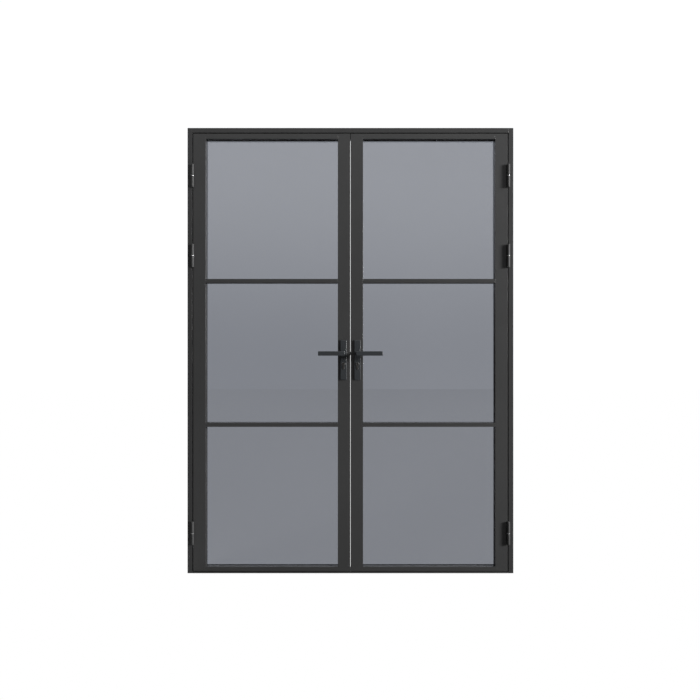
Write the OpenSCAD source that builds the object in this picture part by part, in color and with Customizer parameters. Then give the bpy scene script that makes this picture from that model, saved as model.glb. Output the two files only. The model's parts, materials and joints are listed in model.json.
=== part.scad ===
// French doors with their frame: two glazed leaves, three panes each, hung on three pairs of hinges.
// Millimetres. X runs along the width, Y from front (-Y, the side the doors open to) to back, Z up.
// The origin is on the floor, in the middle of the width and of the leaves' thickness.

/* [Frame] */
// Overall width of the frame
frame_w = 1500; // [1250:10:2000]
// Overall height of the frame
frame_h = 2050; // [1750:10:2500]
// Depth of the frame, front to back
frame_d = 80; // [74:1:140]
// Width of the jambs' and head's front face
face_w = 22; // [18:1:60]
// How far the stop behind the leaves stands in past the front face
stop_lap = 14; // [12:1:24]
// Gap between a leaf's back face and the stop, filled by the seal
seal_gap = 3; // [2:0.5:6]
// Thickness of the threshold plate
threshold_t = 6; // [4:0.5:20]

/* [Leaves] */
// Thickness of a leaf
leaf_t = 45; // [42:0.5:60]
// Width of the stile on the hinge side
hinge_stile_w = 57.5; // [45:0.5:100]
// Width of the stile on the meeting side
meet_stile_w = 56.5; // [56:0.5:100]
// Least height of the top rail
top_rail_h = 24.5; // [24:0.5:100]
// Height of the bottom rail
bottom_rail_h = 20; // [20:0.5:200]
// Height of a glazing bar
muntin_h = 18.5; // [18.5:0.5:60]
// Gap between a leaf and its jamb
side_gap = 4; // [4:0.25:8]
// Gap between a leaf and the head
head_gap = 4; // [4:0.25:8]
// Gap between the two leaves
meet_gap = 3; // [3:0.25:6]
// Gap between a leaf and the threshold
sill_gap = 3.5; // [3:0.25:10]

/* [Glazing] */
// Depth from a leaf's front face to the shoulder that the glass seats on
glass_inset = 26; // [20:0.5:30]
// Thickness of the glass
glass_t = 6; // [4:0.5:8]
// Thickness of each gasket
gasket_t = 2; // [1:0.25:3]
// Depth of the rebate round each pane
rebate = 7; // [7:0.5:8]
// How far the frame covers the glass's edge
glass_bite = 5; // [4:0.5:5.5]
// Length of a setting block under the glass
block_len = 80; // [40:5:120]

/* [Profiles] */
// Wall of the hollow profiles
wall = 2; // [1.5:0.25:3]
// Wall where hinges and locks are fixed
edge_wall = 4; // [3:0.25:6]
// Wall of the glazing beads
bead_wall = 1.2; // [1:0.1:1.6]

/* [Hinges] */
// Height of a hinge
hinge_h = 107; // [100:1:150]
// Radius of the barrel
barrel_r = 7; // [6:0.25:7.5]
// Radius of the pin
pin_r = 4; // [3:0.25:4.5]
// Thickness of a hinge plate
plate_t = 1.8; // [1.5:0.1:1.9]
// Depth of a hinge plate
plate_d = 30; // [28:1:34]
// Distance from the leaf's front face to the pin's axis
pin_proud = 8; // [8:0.25:14]
// Height of the lowest hinge's middle above the floor
hinge_low = 186; // [120:1:400]
// Distance from the frame's top to the middle hinge's middle
hinge_mid_drop = 589; // [500:1:800]
// Distance from the frame's top to the highest hinge's middle
hinge_top_drop = 221; // [120:1:350]

/* [Handles] */
// Height of the lever's axis
lever_z = 1012; // [900:1:1100]
// Distance from the meeting line to the lever's axis
lever_x = 32; // [32:0.5:34]
// Length of the lever from its axis to its end
lever_len = 115; // [90:1:140]
// Height of the lever's flat bar
lever_bar_h = 20; // [16:0.5:26]
// Thickness of the lever's flat bar
lever_bar_t = 8; // [5:0.5:12]
// Distance from the leaf's face to the lever's outer face
lever_out = 52; // [44:1:65]
// Radius of the lever's neck
neck_r = 7; // [6.5:0.25:8]
// Width of the handle plates
handle_w = 29; // [26:0.5:29.5]
// Height of the handle plates
handle_h = 183; // [180:1:220]
// Height of the handle plates' top edge above the lever's axis
handle_rise = 61; // [60:1:80]
// Thickness of the handle plates
handle_t = 6; // [4:0.5:10]

/* [Locks] */
// Drop from the lever's axis to the cylinder's axis
cylinder_drop = 49; // [49:1:60]
// How far a cylinder stands out of each handle plate
cylinder_out = 2; // [1:0.5:4]
// Height of a lock case
case_h = 140; // [140:1:150]
// Depth of a lock case behind its faceplate
case_d = 42.5; // [42:0.5:42.5]
// Thickness of a lock case
case_t = 16; // [14:0.5:18]
// How far the latch bolt stands out of the leaf
latch_out = 11; // [8:0.5:12]
// Height of the latch bolt
latch_h = 16; // [12:0.5:18]
// Height of the deadbolt
deadbolt_h = 18; // [14:0.5:18]
// Travel of the deadbolt
deadbolt_throw = 20; // [12:0.5:20]
// Radius of the shoot bolts
rod_r = 4; // [3:0.25:4.5]
// Distance from the meeting line to the shoot bolts
rod_x = 23; // [22.5:0.25:23]
// How far a shoot bolt stands out of the top of its leaf
rod_out = 14; // [10:0.5:14]

/* [Hidden] */
$fn = 48;

// Sides of the frame, as the sign of X
left = -1;
right = 1;

// Clearances
running_gap = 0.05;    // round parts that turn or slide in a bore
sliding_gap = 0.1;     // flat parts that slide
fixed_gap = 0.02;      // pins and screws that don't move in their hole
loose_gap = 0.3;       // holes that only clear what passes through
pocket_gap = 1;        // pockets that a bolt enters
part_gap = 0.2;        // cut pieces laid end to end

// Planes front to back
front_y = -leaf_t / 2;
back_y = leaf_t / 2;
stop_y = back_y + seal_gap;
frame_back_y = front_y + frame_d;
shoulder_y = front_y + glass_inset;
glass_y = shoulder_y + gasket_t;
glass_back_y = glass_y + glass_t;
bead_y = glass_back_y + gasket_t;

// Planes along the width, on the right side
frame_x = frame_w / 2;
jamb_x = frame_x - face_w;
stop_x = jamb_x - stop_lap;
leaf_x = jamb_x - side_gap;
meet_x = meet_gap / 2;
pane_x0 = meet_x + meet_stile_w;
pane_x1 = leaf_x - hinge_stile_w;

// Planes along the height
head_z = frame_h - face_w;
stop_z = head_z - stop_lap;
leaf_z0 = threshold_t + sill_gap;
leaf_z1 = head_z - head_gap;
pane_count = 3;
muntins_h = (pane_count - 1) * muntin_h;
panes_z0 = leaf_z0 + bottom_rail_h;
// Panes are cut to a tenth of a millimetre, and the top rail takes up what is left
pane_h = floor(10 * (leaf_z1 - top_rail_h - panes_z0 - muntins_h) / pane_count) / 10;
panes_z1 = panes_z0 + pane_count * pane_h + muntins_h;
function pane_z0(i) = panes_z0 + i * (pane_h + muntin_h);
function pane_z1(i) = pane_z0(i) + pane_h;

// Corner joints and wall fixings
end_wall = 3;
joint_screw_r = 2.5;
sill_screw_r = 1.6;
joint_screw_len = 45;
joint_screw_ys = [-12, 12];
fixing_r = 4;
fixing_zs = [250, 750, 1250, 1750];
fixing_y = (stop_y + frame_back_y) / 2;

// Seals
seal_w = 7;
seal_clear = 0.3;
seal_edge = 1;
brush_w = 6;
brush_y = 12;
brush_clear = 0.5;

// Glazing details
block_at = 0.25;       // share of the pane's width from each side to a setting block's middle
block_t = rebate - glass_bite;

// Hinges
pin_x = (leaf_x + jamb_x) / 2;
pin_y = front_y - pin_proud;
hinge_zs = [hinge_low, frame_h - hinge_mid_drop, frame_h - hinge_top_drop];
washer_t = 1.5;
washer_lip = 0.2;
barrel_chamfer = 1;
pin_end = 5.5;         // solid end of each knuckle past the pin
hinge_screw_r = 2.1;
hinge_screw_head_r = 3.8;
hinge_screw_head_h = 1.7;
hinge_screw_len = 14;
hinge_screw_at = [[8, 42], [22, 16], [22, -16], [8, -42]]; // from the leaf's face, from the middle

// Handles
plate_front_y = front_y - handle_t;
handle_z1 = lever_z + handle_rise;
handle_z0 = handle_z1 - handle_h;
bar_y = front_y - lever_out;
neck_end = 0.5;        // gap between a neck's end and the leaf
spindle_w = 8;
spindle_in = 25;       // how far the spindle goes into each lever
spindle_tip_gap = 1;
hub_r = 8;
grub_r = 2;
grub_from_face = 18;   // grub screw's distance from the handle plate's outer face
handle_screw_inset = 11;
post_r = 4;
post_len = 28;
handle_screw_r = 2.4;
handle_screw_head_r = 4.4;
handle_screw_head_h = 2.6;
handle_screw_len = 37;

// Cylinders
cylinder_z = lever_z - cylinder_drop;
cylinder_r = 8.5;
cylinder_web_r = 5;
cylinder_h = 33;
cylinder_half = leaf_t / 2 + handle_t + cylinder_out;
plug_r = 6.5;
cam_r = 12;
cam_w = 6;
cam_hub_r = 8;
cam_slot = 5;          // half length of the slot the cam turns in
cam_clear = 0.5;
cam_t = 9.6;
key_w = 1.6;
key_h = 9;
key_depth = 6;
cylinder_screw_z = cylinder_z - 17;

// Locks
faceplate_t = 2;
faceplate_w = 20;
faceplate_over = 20;   // how far the faceplate passes the case at each end
case_wall = 1.5;
case_x0 = meet_x + faceplate_t;
case_x1 = case_x0 + case_d;
case_z0 = lever_z - 100;
case_z1 = case_z0 + case_h;
faceplate_z0 = case_z0 - faceplate_over;
faceplate_z1 = case_z1 + faceplate_over;
faceplate_screw_r = 2;
faceplate_screw_head_r = 3.9;
faceplate_screw_len = 14;
latch_w = 12;
latch_in = 10;         // length of the latch bolt inside the leaf
deadbolt_w = 10;
deadbolt_z = lever_z - 82;
deadbolt_set = 1;      // how far the drawn-back bolt sits inside the faceplate
deadbolt_hold = 3.5;   // length still inside the faceplate when thrown
deadbolt_len = deadbolt_throw + deadbolt_hold;

// Shoot bolts
rod_top_z = lever_z + 24;
rod_bottom_z = cylinder_screw_z - faceplate_screw_r - rod_out - pocket_gap;
rod_tip_z = 1.2;
keeper_l = 40;
keeper_w = 18;
keeper_screw_x = 14;
keeper_screw_r = 1.7;
keeper_screw_head_r = 3.2;
keeper_screw_len = 10;
rod_guide_r = rod_r + 0.6;

// A box given by two opposite corners
module slab(low, high) {
  translate(low) cube(high - low);
}

// Draws a right-hand shape on the right, or its mirror image on the left
module on(side) {
  if (side == right) children();
  else mirror([1, 0, 0]) children();
}

// A cylinder along Y from y0 to y1 about the axis at x, z
module bar_y_axis(r, x, z, y0, y1) {
  translate([x, y0, z]) rotate([-90, 0, 0]) cylinder(r = r, h = y1 - y0);
}

// A cylinder along X from x0 to x1 about the axis at y, z
module bar_x_axis(r, y, z, x0, x1) {
  translate([x0, y, z]) rotate([0, 90, 0]) cylinder(r = r, h = x1 - x0);
}

// A countersunk screw along +Z with its head's top at the origin
module screw(r, head_r, head_h, len) {
  cylinder(r1 = head_r, r2 = r, h = head_h);
  cylinder(r = r, h = len);
}

// The hole that a countersunk screw sits in
module screw_hole(r, head_r, head_h, len) {
  cylinder(r1 = head_r + running_gap, r2 = r + running_gap, h = head_h);
  cylinder(r = r + running_gap, h = len);
}

// Turns a screw along +Z to point along +X, -X or +Y
module along_x() { rotate([0, 90, 0]) children(); }
module against_x() { rotate([0, -90, 0]) children(); }
module along_y() { rotate([-90, 0, 0]) children(); }
module against_y() { rotate([90, 0, 0]) children(); }

// ---- frame ----

module joint_screw_places() {
  for (y = joint_screw_ys)
    translate([frame_x, y, head_z + face_w / 2]) against_x() children();
}

module sill_screw_places() {
  for (y = joint_screw_ys)
    translate([frame_x, y, threshold_t / 2]) against_x() children();
}

module jamb_outline(inset, edge_inset) {
  polygon([
    [jamb_x + edge_inset, front_y + inset], [frame_x - inset, front_y + inset],
    [frame_x - inset, frame_back_y - inset], [stop_x + inset, frame_back_y - inset],
    [stop_x + inset, stop_y + inset], [jamb_x + edge_inset, stop_y + inset]]);
}

module jamb(side) {
  color([0.24, 0.24, 0.24]) on(side) difference() {
    linear_extrude(frame_h) jamb_outline(0, 0);
    translate([0, 0, end_wall]) linear_extrude(frame_h - 2 * end_wall) jamb_outline(wall, edge_wall);
    hinge_screw_places(jamb_x) along_x()
      cylinder(r = hinge_screw_r + fixed_gap, h = edge_wall * 3, center = true);
    joint_screw_places() screw_hole(joint_screw_r, 2 * joint_screw_r, joint_screw_r, joint_screw_len);
    sill_screw_places() screw_hole(sill_screw_r, 2 * sill_screw_r - 0.4, sill_screw_r, joint_screw_len);
    for (z = fixing_zs) bar_x_axis(fixing_r, fixing_y, z, stop_x - 1, frame_x + 1);
  }
}

module head() {
  color([0.23, 0.23, 0.23]) difference() {
    union() {
      slab([-jamb_x, front_y, head_z], [jamb_x, stop_y, frame_h]);
      slab([-stop_x, stop_y, stop_z], [stop_x, frame_back_y, frame_h]);
    }
    slab([-jamb_x + end_wall, front_y + wall, head_z + wall],
      [jamb_x - end_wall, stop_y - wall, frame_h - wall]);
    slab([-stop_x + end_wall, stop_y - wall, head_z + wall],
      [stop_x - end_wall, frame_back_y - wall, frame_h - wall]);
    slab([-stop_x + end_wall, stop_y + wall, stop_z + wall],
      [stop_x - end_wall, frame_back_y - wall, frame_h - wall]);
    for (side = [left, right]) on(side) joint_screw_places()
      cylinder(r = joint_screw_r + fixed_gap, h = joint_screw_len + 1);
    translate([-rod_x, 0, head_z - 1]) cylinder(r = rod_guide_r, h = wall + 2);
    keeper_screw_places() cylinder(r = keeper_screw_r + fixed_gap, h = keeper_screw_len);
  }
}

module threshold() {
  color([0.27, 0.27, 0.27]) difference() {
    union() {
      slab([-jamb_x, front_y, 0], [jamb_x, stop_y, threshold_t]);
      slab([-stop_x, stop_y, 0], [stop_x, frame_back_y, threshold_t]);
    }
    for (side = [left, right]) on(side) sill_screw_places()
      cylinder(r = sill_screw_r + fixed_gap, h = joint_screw_len + 1);
    translate([-rod_x, 0, -1]) cylinder(r = rod_guide_r, h = threshold_t + 2);
  }
}

module frame_seals() {
  color([0.12, 0.12, 0.12]) {
    for (side = [left, right]) on(side)
      slab([stop_x + seal_edge, back_y + seal_clear, leaf_z0],
        [stop_x + seal_edge + seal_w, stop_y, stop_z]);
    slab([-leaf_x, back_y + seal_clear, stop_z + seal_edge], [leaf_x, stop_y, stop_z + seal_edge + seal_w]);
  }
}

module keeper_screw_places() {
  for (dx = [-keeper_screw_x, keeper_screw_x])
    translate([dx - rod_x, 0, head_z - plate_t]) children();
}

module head_keeper() {
  color([0.55, 0.55, 0.56]) difference() {
    slab([-rod_x - keeper_l / 2, -keeper_w / 2, head_z - plate_t],
      [-rod_x + keeper_l / 2, keeper_w / 2, head_z]);
    translate([-rod_x, 0, head_z - plate_t - 1]) cylinder(r = rod_guide_r, h = plate_t + 2);
    keeper_screw_places() screw_hole(keeper_screw_r, keeper_screw_head_r, plate_t - 0.2, keeper_screw_len);
  }
}

module frame_screws() {
  color([0.5, 0.5, 0.51]) {
    for (side = [left, right]) on(side) {
      joint_screw_places() screw(joint_screw_r, 2 * joint_screw_r, joint_screw_r, joint_screw_len);
      sill_screw_places() screw(sill_screw_r, 2 * sill_screw_r - 0.4, sill_screw_r, joint_screw_len);
      hinge_screw_places(jamb_x - plate_t) along_x() hinge_screw();
    }
    keeper_screw_places() screw(keeper_screw_r, keeper_screw_head_r, plate_t - 0.2, keeper_screw_len);
  }
}

// ---- hinges ----

module hinge_screw_places(x) {
  for (z = hinge_zs, at = hinge_screw_at)
    translate([x, front_y + at[0], z + at[1]]) children();
}

module hinge_screw() {
  screw(hinge_screw_r, hinge_screw_head_r, hinge_screw_head_h, hinge_screw_len);
}

module hinge_screw_hole() {
  screw_hole(hinge_screw_r, hinge_screw_head_r, hinge_screw_head_h, hinge_screw_len);
}

// A knuckle with its plate, from the washer at z = 0 up to its chamfered end
// plate_x is the plate's near face
module flag(plate_x, bore_r) {
  knuckle_h = (hinge_h - washer_t) / 2;
  difference() {
    union() {
      translate([pin_x, pin_y, 0]) rotate_extrude() polygon([
        [0, 0], [barrel_r, 0], [barrel_r, knuckle_h - barrel_chamfer],
        [barrel_r - barrel_chamfer, knuckle_h], [0, knuckle_h]]);
      slab([plate_x, pin_y, 0], [plate_x + plate_t, front_y, knuckle_h - barrel_chamfer]);
      slab([plate_x, front_y, -knuckle_h - washer_t], [plate_x + plate_t, front_y + plate_d, knuckle_h]);
    }
    translate([pin_x, pin_y, -1]) cylinder(r = bore_r, h = knuckle_h - pin_end + 1);
  }
}

module jamb_hinges(side) {
  color([0.26, 0.26, 0.26]) on(side) difference() {
    for (z = hinge_zs) translate([0, 0, z - washer_t / 2]) mirror([0, 0, 1])
      flag(jamb_x - plate_t, pin_r + fixed_gap);
    hinge_screw_places(jamb_x - plate_t) along_x() hinge_screw_hole();
  }
}

module leaf_hinges(side) {
  color([0.26, 0.26, 0.26]) on(side) difference() {
    for (z = hinge_zs) translate([0, 0, z + washer_t / 2]) flag(leaf_x, pin_r + running_gap);
    hinge_screw_places(leaf_x + plate_t) against_x() hinge_screw_hole();
  }
}

module hinge_pins() {
  pin_half = (hinge_h - washer_t) / 2 - pin_end + washer_t / 2;
  color([0.6, 0.6, 0.61]) for (side = [left, right], z = hinge_zs) on(side) translate([pin_x, pin_y, z]) {
    translate([0, 0, -pin_half]) cylinder(r = pin_r, h = 2 * pin_half - 0.5);
    difference() {
      cylinder(r = barrel_r + washer_lip, h = washer_t, center = true);
      cylinder(r = pin_r + running_gap, h = washer_t + 2, center = true);
    }
  }
}

// ---- leaves ----

module hinge_stile_outline(inset, edge_inset) {
  polygon([
    [pane_x1 + inset, front_y + inset], [leaf_x - edge_inset, front_y + inset],
    [leaf_x - edge_inset, back_y - inset], [pane_x1 + rebate + inset, back_y - inset],
    [pane_x1 + rebate + inset, shoulder_y - inset], [pane_x1 + inset, shoulder_y - inset]]);
}

module hinge_stile(side) {
  color([0.24, 0.24, 0.24]) on(side) difference() {
    translate([0, 0, leaf_z0]) linear_extrude(leaf_z1 - leaf_z0) hinge_stile_outline(0, 0);
    translate([0, 0, leaf_z0 + end_wall]) linear_extrude(leaf_z1 - leaf_z0 - 2 * end_wall)
      hinge_stile_outline(wall, edge_wall);
    hinge_screw_places(leaf_x) along_x()
      cylinder(r = hinge_screw_r + fixed_gap, h = edge_wall * 3, center = true);
  }
}

module meeting_stile_outline(inset, edge_inset) {
  polygon([
    [meet_x + edge_inset, front_y + inset], [pane_x0 - inset, front_y + inset],
    [pane_x0 - inset, shoulder_y - inset], [pane_x0 - rebate - inset, shoulder_y - inset],
    [pane_x0 - rebate - inset, back_y - inset], [meet_x + edge_inset, back_y - inset]]);
}

module handle_screw_places() {
  for (z = [handle_z0 + handle_screw_inset, handle_z1 - handle_screw_inset])
    translate([lever_x, 0, z]) children();
}

module meeting_stile(side) {
  color([0.24, 0.24, 0.24]) on(side) difference() {
    translate([0, 0, leaf_z0]) linear_extrude(leaf_z1 - leaf_z0) meeting_stile_outline(0, 0);
    translate([0, 0, leaf_z0 + end_wall]) linear_extrude(leaf_z1 - leaf_z0 - 2 * end_wall)
      meeting_stile_outline(wall, edge_wall);
    slab([meet_x - 1, -faceplate_w / 2 - sliding_gap, faceplate_z0 - sliding_gap],
      [case_x0, faceplate_w / 2 + sliding_gap, faceplate_z1 + sliding_gap]);
    slab([meet_x, -case_t / 2 - sliding_gap, case_z0 - sliding_gap],
      [meet_x + edge_wall + 1, case_t / 2 + sliding_gap, case_z1 + sliding_gap]);
    faceplate_screw_places() cylinder(r = faceplate_screw_r + fixed_gap, h = edge_wall + 2);
    bar_y_axis(neck_r, lever_x, lever_z, front_y - 1, back_y + 1);
    cylinder_shape(front_y - 1, back_y + 1, loose_gap);
    handle_screw_places() translate([0, front_y - 1, 0]) along_y()
      cylinder(r = post_r + fixed_gap, h = wall + 2);
    handle_screw_places() translate([0, back_y + 1, 0]) against_y()
      cylinder(r = handle_screw_r + running_gap, h = wall + 2);
    if (side == left) for (z = [leaf_z0 - 1, leaf_z1 - end_wall - 1])
      translate([rod_x, 0, z]) cylinder(r = rod_r + running_gap, h = end_wall + 2);
  }
}

// A rail or glazing bar from z0 to z1, rebated below and above by the depths given
module rail_shape(z0, z1, below, above) {
  difference() {
    union() {
      slab([pane_x0, front_y, z0], [pane_x1, shoulder_y, z1]);
      slab([pane_x0 - rebate, shoulder_y, z0 + below], [pane_x1 + rebate, back_y, z1 - above]);
    }
    slab([pane_x0 - 1, front_y + wall, z0 + wall], [pane_x1 + 1, shoulder_y - wall, z1 - wall]);
    if (z1 - z0 - below - above > 4 * wall)
      slab([pane_x0 - rebate - 1, shoulder_y, z0 + below + wall],
        [pane_x1 + rebate + 1, back_y - wall, z1 - above - wall]);
  }
}

module top_rail(side) {
  color([0.23, 0.23, 0.23]) on(side) rail_shape(panes_z1, leaf_z1, rebate, 0);
}

module bottom_rail(side) {
  color([0.22, 0.22, 0.22]) on(side) rail_shape(leaf_z0, panes_z0, 0, rebate);
}

module muntins(side) {
  color([0.23, 0.23, 0.23]) on(side)
    for (i = [0 : pane_count - 2]) rail_shape(pane_z1(i), pane_z0(i + 1), rebate, rebate);
}

module glass(side, i) {
  color([0.5, 0.52, 0.55, 0.8]) on(side)
    slab([pane_x0 - glass_bite, glass_y, pane_z0(i) - glass_bite],
      [pane_x1 + glass_bite, glass_back_y, pane_z1(i) + glass_bite]);
}

// A rectangular ring round pane i that fills the rebate from y0 to y1
module rebate_ring(i, y0, y1) {
  difference() {
    slab([pane_x0 - rebate, y0, pane_z0(i) - rebate], [pane_x1 + rebate, y1, pane_z1(i) + rebate]);
    slab([pane_x0, y0 - 1, pane_z0(i)], [pane_x1, y1 + 1, pane_z1(i)]);
  }
}

// Both gaskets and the setting blocks of each pane
module gaskets(side) {
  color([0.08, 0.08, 0.08]) on(side) for (i = [0 : pane_count - 1]) {
    rebate_ring(i, shoulder_y, glass_y);
    rebate_ring(i, glass_back_y, bead_y);
    for (share = [block_at, 1 - block_at])
      translate([pane_x0 + share * (pane_x1 - pane_x0) - block_len / 2,
        glass_y + part_gap, pane_z0(i) - rebate])
        cube([block_len, glass_t - 2 * part_gap, block_t]);
  }
}

// Four hollow beads behind each pane
module beads(side) {
  color([0.24, 0.24, 0.24]) on(side) for (i = [0 : pane_count - 1]) {
    for (x = [pane_x0 - rebate, pane_x1]) difference() {
      slab([x, bead_y, pane_z0(i) - rebate], [x + rebate, back_y, pane_z1(i) + rebate]);
      slab([x + bead_wall, bead_y + bead_wall, pane_z0(i) - rebate - 1],
        [x + rebate - bead_wall, back_y - bead_wall, pane_z1(i) + rebate + 1]);
    }
    for (z = [pane_z0(i) - rebate, pane_z1(i)]) difference() {
      slab([pane_x0 + part_gap, bead_y, z], [pane_x1 - part_gap, back_y, z + rebate]);
      slab([pane_x0 - 1, bead_y + bead_wall, z + bead_wall],
        [pane_x1 + 1, back_y - bead_wall, z + rebate - bead_wall]);
    }
  }
}

module bottom_seal(side) {
  color([0.1, 0.1, 0.1]) on(side)
    slab([pane_x0, brush_y, threshold_t + brush_clear], [pane_x1, brush_y + brush_w, leaf_z0]);
}

module leaf_screws(side) {
  color([0.5, 0.5, 0.51]) on(side) {
    hinge_screw_places(leaf_x + plate_t) against_x() hinge_screw();
    faceplate_screw_places()
      screw(faceplate_screw_r, faceplate_screw_head_r, faceplate_t - 0.2, faceplate_screw_len);
    translate([meet_x, 0, cylinder_screw_z]) along_x()
      screw(faceplate_screw_r, faceplate_screw_head_r, faceplate_t - 0.2, lever_x + cylinder_web_r - meet_x);
    handle_screw_places() translate([0, back_y + handle_t, 0]) against_y()
      screw(handle_screw_r, handle_screw_head_r, handle_screw_head_h, handle_screw_len);
  }
}

// ---- handles ----

// The outline of a profile cylinder, extruded along Y from y0 to y1 and grown by a clearance
module cylinder_shape(y0, y1, grow) {
  foot_z = cylinder_z + cylinder_r - cylinder_h + cylinder_web_r;
  bar_y_axis(cylinder_r + grow, lever_x, cylinder_z, y0, y1);
  bar_y_axis(cylinder_web_r + grow, lever_x, foot_z, y0, y1);
  slab([lever_x - cylinder_web_r - grow, y0, foot_z], [lever_x + cylinder_web_r + grow, y1, cylinder_z]);
}

// A handle plate between two planes, with the holes for the neck and the cylinder
module handle_plate(y0, y1) {
  difference() {
    slab([lever_x - handle_w / 2, y0, handle_z0], [lever_x + handle_w / 2, y1, handle_z1]);
    bar_y_axis(neck_r + running_gap, lever_x, lever_z, y0 - 1, y1 + 1);
    cylinder_shape(y0 - 1, y1 + 1, loose_gap);
  }
}

module front_plate(side) {
  color([0.25, 0.25, 0.25]) on(side) {
    handle_plate(plate_front_y, front_y);
    handle_screw_places() difference() {
      translate([0, front_y - 1, 0]) along_y() cylinder(r = post_r, h = post_len + 1);
      along_y() cylinder(r = handle_screw_r + fixed_gap, h = 2 * post_len, center = true);
    }
  }
}

module back_plate(side) {
  color([0.25, 0.25, 0.25]) on(side) difference() {
    handle_plate(back_y, back_y + handle_t);
    handle_screw_places() translate([0, back_y + handle_t, 0]) against_y()
      screw_hole(handle_screw_r, handle_screw_head_r, handle_screw_head_h, handle_screw_len);
  }
}

// The lever on the front; the back one is its mirror image
module lever_shape() {
  neck_y = front_y - neck_end;
  difference() {
    union() {
      bar_y_axis(neck_r, lever_x, lever_z, bar_y + lever_bar_t / 2, neck_y);
      slab([lever_x - neck_r, bar_y, lever_z - lever_bar_h / 2],
        [lever_x + lever_len, bar_y + lever_bar_t, lever_z + lever_bar_h / 2]);
    }
    translate([lever_x, front_y - handle_t - spindle_in / 2 + neck_end, lever_z])
      cube([spindle_w + sliding_gap, spindle_in + 2 * handle_t, spindle_w + sliding_gap], center = true);
    translate([lever_x, plate_front_y - grub_from_face, lever_z - neck_r - 1])
      cylinder(r = grub_r + fixed_gap, h = neck_r + 1);
  }
}

module front_lever(side) {
  color([0.25, 0.25, 0.25]) on(side) lever_shape();
}

module back_lever(side) {
  color([0.25, 0.25, 0.25]) on(side) mirror([0, 1, 0]) lever_shape();
}

// The square spindle with its follower, and the two grub screws that hold the levers on it
module spindle(side) {
  spindle_half = leaf_t / 2 + handle_t + spindle_in / 2 - spindle_tip_gap;
  color([0.6, 0.6, 0.61]) on(side) {
    translate([lever_x, 0, lever_z]) cube([spindle_w, 2 * spindle_half, spindle_w], center = true);
    bar_y_axis(hub_r, lever_x, lever_z, -case_t / 2, case_t / 2);
    for (way = [-1, 1])
      translate([lever_x, way * (plate_front_y - grub_from_face), lever_z - neck_r + 0.2])
        cylinder(r = grub_r, h = neck_r - 0.2 - spindle_w / 2 - running_gap);
  }
}

// ---- locks ----

module faceplate_screw_places() {
  for (z = [faceplate_z0 + faceplate_over / 2, faceplate_z1 - faceplate_over / 2])
    translate([meet_x, 0, z]) along_x() children();
}

// A lock case with its faceplate; the bolt openings are given as half width and clearance
module lock_body(latch_gap, deadbolt_gap) {
  difference() {
    union() {
      slab([meet_x, -faceplate_w / 2, faceplate_z0], [case_x0, faceplate_w / 2, faceplate_z1]);
      slab([case_x0, -case_t / 2, case_z0], [case_x1, case_t / 2, case_z1]);
    }
    slab([case_x0 + case_wall, -case_t / 2 + case_wall, case_z0 + case_wall],
      [case_x1 - case_wall, case_t / 2 - case_wall, case_z1 - case_wall]);
    bolt_box(latch_w, latch_h, lever_z, latch_gap);
    bolt_box(deadbolt_w, deadbolt_h, deadbolt_z, deadbolt_gap);
    bar_y_axis(hub_r + running_gap, lever_x, lever_z, -case_t, case_t);
    cylinder_shape(-case_t, case_t, loose_gap);
    translate([meet_x, 0, cylinder_screw_z]) along_x()
      screw_hole(faceplate_screw_r, faceplate_screw_head_r, faceplate_t - 0.2, lever_x);
    faceplate_screw_places()
      screw_hole(faceplate_screw_r, faceplate_screw_head_r, faceplate_t - 0.2, faceplate_screw_len);
  }
}

// The opening for a bolt through the faceplate and the case's front wall
module bolt_box(w, h, z, gap) {
  slab([meet_x - 1, -w / 2 - gap, z - h / 2 - gap], [case_x0 + case_wall + 1, w / 2 + gap, z + h / 2 + gap]);
}

module lock_case() {
  color([0.45, 0.45, 0.46]) lock_body(sliding_gap, sliding_gap);
}

module gearbox() {
  color([0.45, 0.45, 0.46]) on(left) difference() {
    lock_body(pocket_gap, pocket_gap);
    translate([rod_x, 0, case_z0 - 1]) cylinder(r = rod_r + running_gap, h = case_h + 2);
  }
}

// The body of a profile cylinder: bored for its plug and slotted for the cam
module cylinder_body(side) {
  color([0.55, 0.55, 0.54]) on(side) difference() {
    cylinder_shape(-cylinder_half, cylinder_half, 0);
    bar_y_axis(plug_r + running_gap, lever_x, cylinder_z, -cylinder_half - 1, cylinder_half + 1);
    slab([lever_x - cylinder_r - 1, -cam_slot, cylinder_z - cam_r - cam_clear],
      [lever_x + cylinder_r + 1, cam_slot, cylinder_z + cylinder_r + 1]);
    translate([0, 0, cylinder_screw_z]) along_x()
      cylinder(r = faceplate_screw_r + fixed_gap, h = lever_x + 2 * cylinder_web_r);
  }
}

// The plug that the key turns, with its cam
module plug(side) {
  color([0.62, 0.6, 0.55]) on(side) difference() {
    union() {
      bar_y_axis(plug_r, lever_x, cylinder_z, -cylinder_half, cylinder_half);
      bar_y_axis(cam_hub_r, lever_x, cylinder_z, -cam_t / 2, cam_t / 2);
      slab([lever_x - cam_w / 2, -cam_t / 2, cylinder_z],
        [lever_x + cam_w / 2, cam_t / 2, cylinder_z + cam_r - 0.4]);
    }
    for (way = [-1, 1])
      translate([lever_x, way * cylinder_half, cylinder_z])
        cube([key_w, 2 * key_depth, key_h], center = true);
  }
}

// The sprung latch, slanted at the back so that the closing door pushes it in
module latch_bolt() {
  tip_x = meet_x - latch_out;
  color([0.6, 0.6, 0.61]) translate([0, 0, lever_z - latch_h / 2]) linear_extrude(latch_h) polygon([
    [tip_x, -latch_w / 2], [tip_x, -latch_w / 2 + 2], [meet_x - 1, latch_w / 2],
    [meet_x + latch_in, latch_w / 2], [meet_x + latch_in, -latch_w / 2]]);
}

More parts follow.
